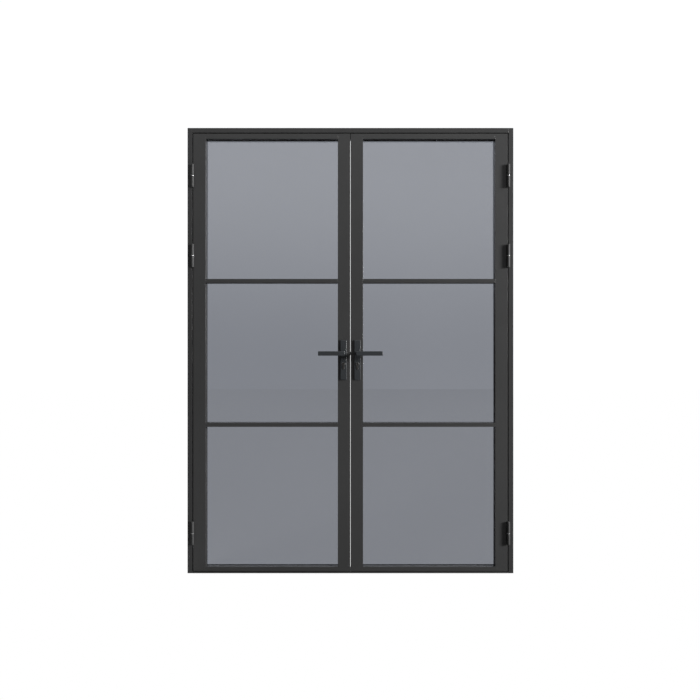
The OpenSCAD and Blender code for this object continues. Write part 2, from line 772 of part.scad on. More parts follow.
module deadbolt() {
  start_x = meet_x + deadbolt_set;
  color([0.6, 0.6, 0.61]) slab([start_x, -deadbolt_w / 2, deadbolt_z - deadbolt_h / 2],
    [start_x + deadbolt_len, deadbolt_w / 2, deadbolt_z + deadbolt_h / 2]);
}

module top_shoot_bolt() {
  color([0.6, 0.6, 0.61]) translate([-rod_x, 0, rod_top_z])
    cylinder(r = rod_r, h = leaf_z1 + rod_out - rod_top_z);
}

module bottom_shoot_bolt() {
  color([0.6, 0.6, 0.61]) translate([-rod_x, 0, rod_tip_z]) cylinder(r = rod_r, h = rod_bottom_z - rod_tip_z);
}

head();
jamb(left);  // left_jamb
jamb(right);  // right_jamb
threshold();
frame_seals();
frame_screws();
head_keeper();
jamb_hinges(left);  // left_jamb_hinges
jamb_hinges(right);  // right_jamb_hinges
hinge_pins();
hinge_stile(left);  // left_hinge_stile
meeting_stile(left);  // left_meeting_stile
top_rail(left);  // left_top_rail
bottom_rail(left);  // left_bottom_rail
muntins(left);  // left_muntins
glass(left, 0);  // left_glass_bottom
glass(left, 1);  // left_glass_middle
glass(left, 2);  // left_glass_top
gaskets(left);  // left_gaskets
beads(left);  // left_beads
leaf_hinges(left);  // left_leaf_hinges
leaf_screws(left);  // left_leaf_screws
bottom_seal(left);  // left_bottom_seal
gearbox();  // left_gearbox
front_plate(left);  // left_front_plate
back_plate(left);  // left_back_plate
cylinder_body(left);  // left_cylinder
hinge_stile(right);  // right_hinge_stile
meeting_stile(right);  // right_meeting_stile
top_rail(right);  // right_top_rail
bottom_rail(right);  // right_bottom_rail
muntins(right);  // right_muntins
glass(right, 0);  // right_glass_bottom
glass(right, 1);  // right_glass_middle
glass(right, 2);  // right_glass_top
gaskets(right);  // right_gaskets
beads(right);  // right_beads
leaf_hinges(right);  // right_leaf_hinges
leaf_screws(right);  // right_leaf_screws
bottom_seal(right);  // right_bottom_seal
lock_case();  // right_lock_case
front_plate(right);  // right_front_plate
back_plate(right);  // right_back_plate
cylinder_body(right);  // right_cylinder
front_lever(left);  // left_front_lever
back_lever(left);  // left_back_lever
spindle(left);  // left_spindle
plug(left);  // left_plug
top_shoot_bolt();
bottom_shoot_bolt();
front_lever(right);  // right_front_lever
back_lever(right);  // right_back_lever
spindle(right);  // right_spindle
plug(right);  // right_plug
latch_bolt();
deadbolt();
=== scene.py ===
"""French doors with their frame: shaped pieces, finishes, light and camera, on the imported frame."""

import json
import logging
import math
from dataclasses import dataclass, field
from enum import Enum
from typing import Any, Iterable, Sequence

import bpy
import numpy as np
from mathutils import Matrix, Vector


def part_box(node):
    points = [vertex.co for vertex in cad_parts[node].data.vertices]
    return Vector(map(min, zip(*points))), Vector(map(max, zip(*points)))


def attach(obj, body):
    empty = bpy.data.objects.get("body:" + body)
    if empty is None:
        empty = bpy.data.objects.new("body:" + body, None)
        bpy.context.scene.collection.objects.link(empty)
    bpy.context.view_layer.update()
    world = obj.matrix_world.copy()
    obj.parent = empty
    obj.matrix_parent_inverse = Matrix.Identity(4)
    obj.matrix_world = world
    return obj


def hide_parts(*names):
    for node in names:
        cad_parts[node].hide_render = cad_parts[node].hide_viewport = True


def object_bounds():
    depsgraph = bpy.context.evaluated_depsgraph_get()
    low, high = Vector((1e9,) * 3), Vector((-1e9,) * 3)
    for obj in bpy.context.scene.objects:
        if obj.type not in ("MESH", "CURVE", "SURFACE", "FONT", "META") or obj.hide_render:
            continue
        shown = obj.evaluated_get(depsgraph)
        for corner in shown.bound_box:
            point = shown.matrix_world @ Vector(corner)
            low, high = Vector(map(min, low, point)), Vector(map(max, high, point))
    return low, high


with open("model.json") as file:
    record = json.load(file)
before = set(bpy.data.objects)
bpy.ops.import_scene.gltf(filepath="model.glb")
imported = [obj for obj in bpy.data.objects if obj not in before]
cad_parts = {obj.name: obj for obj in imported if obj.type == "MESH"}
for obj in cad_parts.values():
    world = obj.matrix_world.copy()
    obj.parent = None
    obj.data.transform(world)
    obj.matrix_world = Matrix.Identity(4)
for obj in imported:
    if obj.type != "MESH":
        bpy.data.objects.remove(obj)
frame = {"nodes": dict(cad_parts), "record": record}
CAD_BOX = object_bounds()
log = logging.getLogger("doors")

MM = 0.001


# ---- shapes ----


class Axis(Enum):
    """The way a profile is carried: its (across, up, along) columns in x, y, z, and whether left-handed."""

    X = ((2, 0, 1), False)
    Y = ((0, 2, 1), True)
    Z = ((0, 1, 2), False)

    def place(self, points: np.ndarray) -> np.ndarray:
        """Turns (across, up, along) points into x, y, z: across, up are y, z for X; x, z for Y; x, y for Z.

        Args:
            points: an array of (across, up, along) rows.

        Returns:
            The same points as rows of x, y, z.
        """
        return points[..., list(self.value[0])]


class Side(Enum):
    """Which leaf, or side of the frame, a piece belongs to."""

    LEFT = -1
    RIGHT = 1

    @property
    def word(self) -> str:
        """The side's name as it stands in node names."""
        return self.name.lower()


@dataclass
class Shell:
    """One or more closed surfaces: vertices, and faces as lists of indices."""

    points: np.ndarray
    faces: list[list[int]]

    def flipped(self) -> "Shell":
        """The same surface with its faces turned round, as a cavity's walls are."""
        return Shell(self.points, [face[::-1] for face in self.faces])

    def on(self, side: Side) -> "Shell":
        """A shape drawn on the right, or its mirror image in x = 0 with its faces turned back outwards.

        Args:
            side: the side to put it on.

        Returns:
            The shell on that side.
        """
        if side is Side.RIGHT:
            return self
        return Shell(self.points * (-1.0, 1.0, 1.0), self.faces).flipped()

    def mirrored(self, column: int, about: float = 0.0) -> "Shell":
        """The mirror image in the plane where coordinate number column equals about."""
        points = self.points.copy()
        points[:, column] = 2 * about - points[:, column]
        return Shell(points, self.faces).flipped()

    def moved(self, x: float = 0.0, y: float = 0.0, z: float = 0.0) -> "Shell":
        """The shell moved by the distances given."""
        return Shell(self.points + (x, y, z), self.faces)


def joined(shells: Iterable[Shell]) -> Shell:
    """Lays several shells side by side in one, with each one's indices moved up past those before it.

    Args:
        shells: the shells to join.

    Returns:
        One shell that holds them all.
    """
    parts = list(shells)
    starts = np.cumsum([0] + [len(part.points) for part in parts])
    faces = [[start + index for index in face]
             for start, part in zip(starts.tolist(), parts) for face in part.faces]
    return Shell(np.concatenate([part.points for part in parts]), faces)


@dataclass(frozen=True)
class Outline:
    """A closed outline with rounded corners, anticlockwise in its own plane."""

    corners: tuple[tuple[float, float], ...]
    radius: float | tuple[float, ...] = 1.0 * MM
    steps: int = 5

    def ring(self, inset: float) -> np.ndarray:
        """The outline's points, moved inwards by inset.

        Each corner moves along the sum of its two edges' inward normals, divided by one plus their product,
        so that both edges move by inset. It then becomes an arc that touches both edges: the arc's start lies
        the radius times the tangent of half the turn before the corner, and its points are that start turned
        about the arc's centre in equal steps. An outward corner's radius shrinks by inset and an inward one's
        grows by it.

        Args:
            inset: distance inwards.

        Returns:
            Points in order, steps + 1 for each corner.
        """
        corner = np.array(self.corners)
        before = corner - np.roll(corner, 1, axis=0)
        before /= np.linalg.norm(before, axis=1, keepdims=True)
        after = np.roll(before, -1, axis=0)
        normal = np.stack([-before[:, 1], before[:, 0]], axis=1)
        normal_after = np.roll(normal, -1, axis=0)
        shared = (normal * normal_after).sum(axis=1, keepdims=True)
        meet = corner + inset * (normal + normal_after) / (1 + shared)
        cross = before[:, 0] * after[:, 1] - before[:, 1] * after[:, 0]
        turn = np.arctan2(cross, (before * after).sum(axis=1))
        way = np.sign(turn)
        radius = np.maximum(np.broadcast_to(self.radius, turn.shape) - inset * way, 0.02 * MM)
        start = meet - before * (radius * np.tan(np.abs(turn) / 2))[:, None]
        centre = start + normal * (way * radius)[:, None]
        angle = turn[:, None] * np.linspace(0, 1, self.steps + 1)
        arm = (start - centre)[:, None, :]
        x = arm[..., 0] * np.cos(angle) - arm[..., 1] * np.sin(angle)
        y = arm[..., 0] * np.sin(angle) + arm[..., 1] * np.cos(angle)
        return (centre[:, None, :] + np.stack([x, y], axis=2)).reshape(-1, 2)


@dataclass(frozen=True)
class KeyholeOutline:
    """The outline of a profile cylinder: a round barrel with a narrower rounded web below it."""

    x: float
    z: float
    barrel: float
    web: float
    foot: float

    def ring(self, inset: float) -> np.ndarray:
        """The outline's points, moved inwards by inset.

        The barrel's arc runs from where its circle crosses the web's right side, anticlockwise to the left
        side: the crossing's angle has the web's half width over the barrel's radius as its cosine. The web
        ends in a half circle.

        Args:
            inset: distance inwards.

        Returns:
            Points in order.
        """
        barrel, web = self.barrel - inset, self.web - inset
        cross = math.acos(web / barrel)
        top = np.linspace(-cross, math.pi + cross, 41)
        low = np.linspace(math.pi, 2 * math.pi, 21)
        upper = np.stack([self.x + barrel * np.cos(top), self.z + barrel * np.sin(top)], axis=1)
        lower = np.stack([self.x + web * np.cos(low), self.foot + web * np.sin(low)], axis=1)
        return np.concatenate([upper, lower])


def rect(low: Sequence[float], high: Sequence[float]) -> tuple[tuple[float, float], ...]:
    """The four corners of a rectangle, anticlockwise from its lowest."""
    return ((low[0], low[1]), (high[0], low[1]), (high[0], high[1]), (low[0], high[1]))


def skin(rings: np.ndarray, along: np.ndarray, axis: Axis) -> Shell:
    """Joins rings of points into a closed solid with a flat cap at each end.

    Quads join point i of each ring to point i + 1 and to the same two points of the next ring.

    Args:
        rings: (across, up) points, as an array of rings by points by 2.
        along: each ring's place along the axis.
        axis: the axis that the rings are carried along.

    Returns:
        The shell, with its faces outwards.
    """
    count, size = rings.shape[:2]
    points = np.concatenate([rings, np.broadcast_to(along[:, None, None], (count, size, 1))], axis=2)
    ring = np.arange(count - 1)[:, None] * size
    near, far = np.arange(size), np.roll(np.arange(size), -1)
    quads = np.stack([ring + near, ring + far, ring + size + far, ring + size + near], axis=2).reshape(-1, 4)
    caps = [np.arange(size)[::-1].tolist(), (np.arange(size) + (count - 1) * size).tolist()]
    shell = Shell(axis.place(points.reshape(-1, 3)), quads.tolist() + caps)
    return shell.flipped() if axis.value[1] else shell


def sweep(outline: Outline | KeyholeOutline, axis: Axis, start: float, end: float,
          ease: float = 0.4 * MM, ease_end: float | None = None, steps: int = 3) -> Shell:
    """Carries an outline straight along an axis and eases the edges of both ends with a quarter round.

    At an angle a from 0 to 90 degrees the ring lies the easing times (1 - cosine a) inside the end and is
    drawn in by the easing times (1 - sine a).

    Args:
        outline: the outline to carry.
        axis: the axis to carry it along.
        start: where it starts along the axis.
        end: where it ends along the axis.
        ease: radius of the easing at the start, and at the end if ease_end isn't given.
        ease_end: radius of the easing at the end.
        steps: facets in each easing.

    Returns:
        A closed shell.
    """
    last = ease if ease_end is None else ease_end
    angle = np.linspace(0, math.pi / 2, steps + 1)
    near = angle if ease else angle[-1:]
    far = angle[::-1] if last else angle[-1:]
    insets = np.concatenate([ease * (1 - np.sin(near)), last * (1 - np.sin(far))])
    along = np.concatenate([start + ease * (1 - np.cos(near)), end - last * (1 - np.cos(far))])
    rings = np.stack([outline.ring(inset) for inset in insets])
    return skin(rings, along, axis)


def turned(profile: Sequence[tuple[float, float]], axis: Axis, centre: tuple[float, float],
           segments: int = 64) -> Shell:
    """A solid of revolution: each profile point becomes a circle of its radius about the axis.

    Args:
        profile: (radius, place along the axis) from the start to the end, rising along the axis.
        axis: the axis of revolution.
        centre: where the axis crosses the profile's plane, as (across, up).
        segments: points in each circle.

    Returns:
        A closed shell.
    """
    radius, along = np.array(profile).T
    angle = np.arange(segments) * 2 * math.pi / segments
    circle = np.stack([np.cos(angle), np.sin(angle)], axis=1)
    rings = np.array(centre) + radius[:, None, None] * circle
    return skin(rings, along, axis)


def rod(radius: float, axis: Axis, centre: tuple[float, float], start: float, end: float,
        ease: float = 0.0) -> Shell:
    """A round bar with a quarter-round easing at both ends, or square ends if ease is 0."""
    if not ease:
        return turned([(radius, start), (radius, end)], axis, centre)
    angle = np.linspace(0, math.pi / 2, 5)
    first = [(radius - ease * (1 - math.sin(a)), start + ease * (1 - math.cos(a))) for a in angle]
    last = [(radius - ease * (1 - math.sin(a)), end - ease * (1 - math.cos(a))) for a in angle[::-1]]
    return turned(first + last, axis, centre)


def block(low: Sequence[float], high: Sequence[float], ease: float = 0.02 * MM) -> Shell:
    """A box between two corners, with its edges eased by a small radius."""
    outline = Outline(rect(low[:2], high[:2]), max(ease, 0.02 * MM), 2)
    return sweep(outline, Axis.Z, low[2], high[2], ease if ease > 0.05 * MM else 0.0, steps=2)


def countersink(radius: float, head: float, depth: float, length: float, axis: Axis,
                centre: tuple[float, float], face: float, way: int) -> Shell:
    """The hole for a countersunk screw: a cone from the face down to the shank's radius, then its bore.

    Args:
        radius: radius of the shank's bore.
        head: radius of the cone at the face.
        depth: depth of the cone.
        length: depth of the whole hole.
        axis: the hole's axis.
        centre: where the axis crosses the face.
        face: the face's place along the axis.
        way: 1 if the hole goes up the axis from the face, -1 if down.

    Returns:
        A closed shell to cut with, standing 1 mm out of the face.
    """
    profile = [(head, -1.0 * MM), (head, 0.0), (radius, depth), (radius, length)]
    placed = [(r, face + way * along) for r, along in profile]
    return turned(placed[::way], axis, centre, 32)


def mitred_ring(section: Outline, low: Sequence[float], high: Sequence[float]) -> Shell:
    """Carries a section round a rectangle in the x, z plane, with mitred corners.

    The section's first coordinate is the distance outwards from the rectangle and its second is y. At each
    of the four corners its points move outwards along x and z alike, so the sides keep the section and meet
    in a mitre.

    Args:
        section: the section, anticlockwise as (outwards, y).
        low: the rectangle's lowest (x, z).
        high: its highest (x, z).

    Returns:
        A closed ring-shaped shell.
    """
    profile = section.ring(0.0)
    corners = np.array(rect(low, high))
    ways = np.array([(-1, -1), (1, -1), (1, 1), (-1, 1)])
    plan = corners[:, None, :] + ways[:, None, :] * profile[None, :, :1]
    depth = np.broadcast_to(profile[None, :, 1:], (4, len(profile), 1))
    points = np.concatenate([plan[..., :1], depth, plan[..., 1:]], axis=2).reshape(-1, 3)
    size = len(profile)
    ring = np.arange(4)[:, None] * size
    far_ring = np.roll(np.arange(4), -1)[:, None] * size
    near, far = np.arange(size), np.roll(np.arange(size), -1)
    quads = np.stack([ring + near, ring + far, far_ring + far, far_ring + near], axis=2).reshape(-1, 4)
    return Shell(points, quads.tolist())


# ---- shader expressions ----


class Wire:
    """A shader socket that can be used in Python expressions; each operation adds a Math node."""

    def __init__(self, graph: "Graph", socket: bpy.types.NodeSocket) -> None:
        """Keeps the graph and the output socket."""
        self.graph = graph
        self.socket = socket

    def _math(self, operation: str, first: Any, second: Any) -> "Wire":
        """Adds one Math node and returns its result."""
        return self.graph.add("ShaderNodeMath", {"operation": operation}, {0: first, 1: second})

    def __add__(self, other: Any) -> "Wire":
        """self + other"""
        return self._math("ADD", self, other)

    def __sub__(self, other: Any) -> "Wire":
        """self - other"""
        return self._math("SUBTRACT", self, other)

    def __rsub__(self, other: Any) -> "Wire":
        """other - self"""
        return self._math("SUBTRACT", other, self)

    def __mul__(self, other: Any) -> "Wire":
        """self * other"""
        return self._math("MULTIPLY", self, other)

    __radd__ = __add__
    __rmul__ = __mul__


class Graph:
    """A node tree that is filled by naming nodes, their settings and their inputs."""

    def __init__(self, tree: bpy.types.NodeTree) -> None:
        """Empties the tree."""
        self.tree = tree
        tree.nodes.clear()

    def add(self, kind: str, settings: dict[str, Any] | None = None, values: dict[Any, Any] | None = None,
            out: int | str = 0) -> Wire:
        """Adds a node.

        Args:
            kind: the node's type.
            settings: its settings, set before its inputs.
            values: its inputs by name or number, as wires or constants.
            out: the output that the result stands for.

        Returns:
            The chosen output.
        """
        node = self.tree.nodes.new(kind)
        for key, value in (settings or {}).items():
            setattr(node, key, value)
        for key, value in (values or {}).items():
            if isinstance(value, Wire):
                self.tree.links.new(value.socket, node.inputs[key])
            else:
                node.inputs[key].default_value = value
        return Wire(self, node.outputs[out] if node.outputs else node.inputs[0])

    def place(self, stretch: tuple[float, float, float] = (1.0, 1.0, 1.0)) -> Wire:
        """Object coordinates, scaled along each axis."""
        coordinates = self.add("ShaderNodeTexCoord", out="Object")
        return self.add("ShaderNodeMapping", None, {"Vector": coordinates, "Scale": stretch})

    def noise(self, place: Wire, scale: float, detail: float = 2.0, roughness: float = 0.5) -> Wire:
        """Fractal noise from 0 to 1 at so many features per metre."""
        return self.add("ShaderNodeTexNoise", None,
                        {"Vector": place, "Scale": scale, "Detail": detail, "Roughness": roughness})

    def ramp(self, value: Wire, low: float, high: float) -> Wire:
        """Stretches the part of a value between low and high to run from 0 to 1, with smooth ends."""
        return self.add("ShaderNodeMapRange", {"interpolation_type": "SMOOTHSTEP"},
                        {"Value": value, "From Min": low, "From Max": high})

    def tint(self, factor: Any, first: Any, second: Any) -> Wire:
        """A colour between first and second."""
        return self.add("ShaderNodeMix", {"data_type": "RGBA"}, {0: factor, 6: first, 7: second}, out=2)

    def bump(self, height: Wire, depth: float) -> Wire:
        """A Bump node at full strength for a height from 0 to 1 over a depth in metres."""
        values = {"Height": height, "Distance": depth, "Strength": 1.0}
        return self.add("ShaderNodeBump", None, values, out="Normal")


def grey(value: float, warmth: float = 0.0) -> tuple[float, float, float, float]:
    """A grey of that linear value, warmer or, below 0, cooler by a share of it."""
    return (value * (1 + warmth), value, value * (1 - warmth), 1.0)


@dataclass(frozen=True)
class Finish:
    """A finish: what every finish shares, and how it becomes a material."""

    name: str

    def dress(self, graph: Graph) -> dict[str, Any]:
        """The Principled BSDF's inputs for this finish."""
        raise NotImplementedError

    def material(self) -> bpy.types.Material:
        """Builds the material once, and returns it again on later calls."""
        found = bpy.data.materials.get(self.name)
        if found:
            return found
        made = bpy.data.materials.new(self.name)
        made.use_nodes = True
        graph = Graph(made.node_tree)
        shader = graph.add("ShaderNodeBsdfPrincipled", None, self.dress(graph))
        graph.add("ShaderNodeOutputMaterial", None, {"Surface": shader})
        return made


@dataclass(frozen=True)
class PowderCoat(Finish):
    """Baked powder paint: a fine orange peel, tiny darker specks and slow drifts of tone and sheen."""

    tone: float = 0.03
    warmth: float = 0.0
    rough: float = 0.45
    peel: float = 900.0
    depth: float = 0.00004

    def dress(self, graph: Graph) -> dict[str, Any]:
        """Tone drifts slowly and darkens in specks; the bump is a peel noise plus a finer grain."""
        place = graph.place()
        drift = graph.noise(place, 5.0, 3.0)
        peel = graph.noise(place, self.peel, 2.0)
        grain = graph.noise(place, self.peel * 4.5, 1.0)
        speck = graph.ramp(grain, 0.60, 0.72)
        base = graph.tint(drift, grey(self.tone * 0.9, self.warmth), grey(self.tone * 1.1, self.warmth))
        colour = graph.tint(speck * 0.35, base, grey(self.tone * 0.45))
        smear = graph.noise(place, 16.0, 4.0, 0.6)
        return {"Base Color": colour, "Roughness": self.rough - 0.06 + smear * 0.08 + grain * 0.06,
                "Normal": graph.bump(peel * 0.7 + grain * 0.3, self.depth)}


@dataclass(frozen=True)
class Steel(Finish):
    """Drawn or brushed metal: fine lines along one axis, with slow changes of tone."""

    tone: float = 0.55
    warmth: float = 0.0
    rough: float = 0.28
    lines: tuple[float, float, float] = (1.0, 1.0, 0.04)

    def dress(self, graph: Graph) -> dict[str, Any]:
        """Noise stretched along the lines drives the bump and roughness; a slow noise dulls the tone."""
        fine = graph.noise(graph.place(self.lines), 5200.0, 3.0)
        place = graph.place()
        dull = graph.noise(place, 60.0, 4.0, 0.6)
        colour = graph.tint(dull, grey(self.tone * 0.8, self.warmth), grey(self.tone * 1.1, self.warmth))
        return {"Base Color": colour, "Metallic": 1.0,
                "Roughness": self.rough + (fine - 0.5) * 0.12 + dull * 0.08,
                "Normal": graph.bump(fine, 0.000012)}


@dataclass(frozen=True)
class Rubber(Finish):
    """Matt black rubber with a fine bloom and a soft grain."""

    tone: float = 0.018

    def dress(self, graph: Graph) -> dict[str, Any]:
        """A pale bloom comes and goes over black, and a fine grain feeds the bump."""
        place = graph.place()
        bloom = graph.noise(place, 40.0, 4.0, 0.65)
        grain = graph.noise(place, 2600.0, 2.0)
        return {"Base Color": graph.tint(graph.ramp(bloom, 0.4, 0.8), grey(self.tone), grey(self.tone * 1.9)),
                "Roughness": 0.62 + bloom * 0.2, "Normal": graph.bump(grain, 0.00003)}


@dataclass(frozen=True)
class SmokedGlass(Finish):
    """Grey body-tinted glass with the slightest drift of tint."""

    tint: tuple[float, float, float] = (0.222, 0.233, 0.260)

    def dress(self, graph: Graph) -> dict[str, Any]:
        """The tint drifts by a few hundredths over the pane."""
        place = graph.place()
        drift = graph.noise(place, 1.6, 1.0)
        low = tuple(channel * 0.97 for channel in self.tint) + (1.0,)
        high = tuple(channel * 1.03 for channel in self.tint) + (1.0,)
        return {"Base Color": graph.tint(drift, low, high), "Roughness": 0.0,
                "IOR": 1.5, "Transmission Weight": 1.0}


FRAME_COAT = PowderCoat("frame_powder_coat", tone=0.025, rough=0.35)
LEAF_COAT = PowderCoat("leaf_powder_coat", tone=0.031, rough=0.35)
HINGE_COAT = PowderCoat("hinge_paint", tone=0.022, rough=0.66, peel=1300.0, depth=0.00003)
HANDLE_COAT = PowderCoat("handle_paint", tone=0.028, warmth=-0.10, rough=0.30, peel=1300.0, depth=0.00002)
CYLINDER_METAL = Steel("darkened_brass", tone=0.13, warmth=0.02, rough=0.3, lines=(1.0, 0.06, 1.0))
BRIGHT_STEEL = Steel("bright_steel", tone=0.62, rough=0.22)
LOCK_STEEL = Steel("brushed_steel", tone=0.42, rough=0.34)
GLAZING = SmokedGlass("smoked_glass")
SEAL_RUBBER = Rubber("seal_rubber")
SLOT_FINISH: dict[str, Finish] = {
    "frame_coat": FRAME_COAT, "leaf_coat": LEAF_COAT, "hinge_coat": HINGE_COAT, "handle_coat": HANDLE_COAT,
    "cylinder_metal": CYLINDER_METAL, "bright_steel": BRIGHT_STEEL, "lock_steel": LOCK_STEEL,
    "glazing": GLAZING, "seal_rubber": SEAL_RUBBER,
}


# ---- making pieces ----


def shade(mesh: bpy.types.Mesh) -> None:
    """Shades a mesh: faces square to an axis are flat, the rest smooth up to edges of 40 degrees."""
    normals = np.empty(len(mesh.polygons) * 3, dtype=np.float32)
    mesh.polygons.foreach_get("normal", normals)
    curved = np.abs(normals.reshape(-1, 3)).max(axis=1) < 0.99999
    mesh.polygons.foreach_set("use_smooth", curved)
    mesh.set_sharp_from_angle(angle=math.radians(40))
    mesh.polygons.foreach_set("use_smooth", curved)
    mesh.update()


def mesh_object(name: str, shell: Shell) -> bpy.types.Object:
    """Makes a Blender object at the origin from a shell."""
    mesh = bpy.data.meshes.new(name)
    mesh.from_pydata(shell.points.tolist(), [], shell.faces)
    shade(mesh)
    made = bpy.data.objects.new(name, mesh)
    bpy.context.scene.collection.objects.link(made)
    return made


def carve(piece: bpy.types.Object, cutters: Sequence[Shell], welded: bool = False) -> None:
    """Cuts shells out of a piece with an exact Boolean and keeps the result as its mesh.

    Args:
        piece: the object to cut.
        cutters: closed shells.
        welded: whether some of the shells overlap and become one.
    """
    if not cutters:
        return
    tool = mesh_object(piece.name + "_cutter", joined(cutters))
    cut = piece.modifiers.new("cut", "BOOLEAN")
    cut.operation, cut.solver, cut.object, cut.use_self = "DIFFERENCE", "EXACT", tool, welded
    bpy.context.view_layer.update()
    result = bpy.data.meshes.new_from_object(piece.evaluated_get(bpy.context.evaluated_depsgraph_get()))
    piece.modifiers.remove(cut)
    old, piece.data = piece.data, result
    shade(result)
    result.name = piece.name
    bpy.data.objects.remove(tool, do_unlink=True)
    bpy.data.meshes.remove(old)


def material_slot(node: str) -> str:
    """The record's material slot of a CAD node."""
    return next(part["material_slot"] for part in frame["record"]["subparts"] if part["node"] == node)


def fit(node: str, body: str, shell: Shell, cutters: Sequence[Shell] = (),
        welded: bool = False) -> bpy.types.Object:
    """Makes the piece that stands for a CAD node: shaped, cut, painted, riding on its body.

    Args:
        node: the CAD node it replaces.
        body: the body it moves with.
        shell: its shape.
        cutters: what is cut out of it.
        welded: whether its shells overlap and become one.

    Returns:
        The piece.
    """
    piece = mesh_object(node + "_piece", shell)
    carve(piece, cutters, welded)
    slot = material_slot(node)
    piece.data.materials.clear()
    piece.data.materials.append(SLOT_FINISH[slot].material())
    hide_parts(node)
    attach(piece, body)
    log.info("%s: %d faces", piece.name, len(piece.data.polygons))
    return piece


def low(node: str) -> np.ndarray:
    """A CAD node's lowest corner."""
    return np.array(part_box(node)[0])


def high(node: str) -> np.ndarray:
    """A CAD node's highest corner."""
    return np.array(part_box(node)[1])


HANDLE_X = 0.032
LEVER_Z = 1.012
BARREL_Z = 0.963
CYLINDER_RADIUS = 8.5 * MM
CYLINDER_WEB = 5 * MM
CYLINDER_END = BARREL_Z - 19.5 * MM
CYLINDER_ROOM = 0.3 * MM
CYLINDER_HOLE = KeyholeOutline(HANDLE_X, BARREL_Z, CYLINDER_RADIUS + CYLINDER_ROOM,
                               CYLINDER_WEB + CYLINDER_ROOM, CYLINDER_END)


# ---- the frame ----


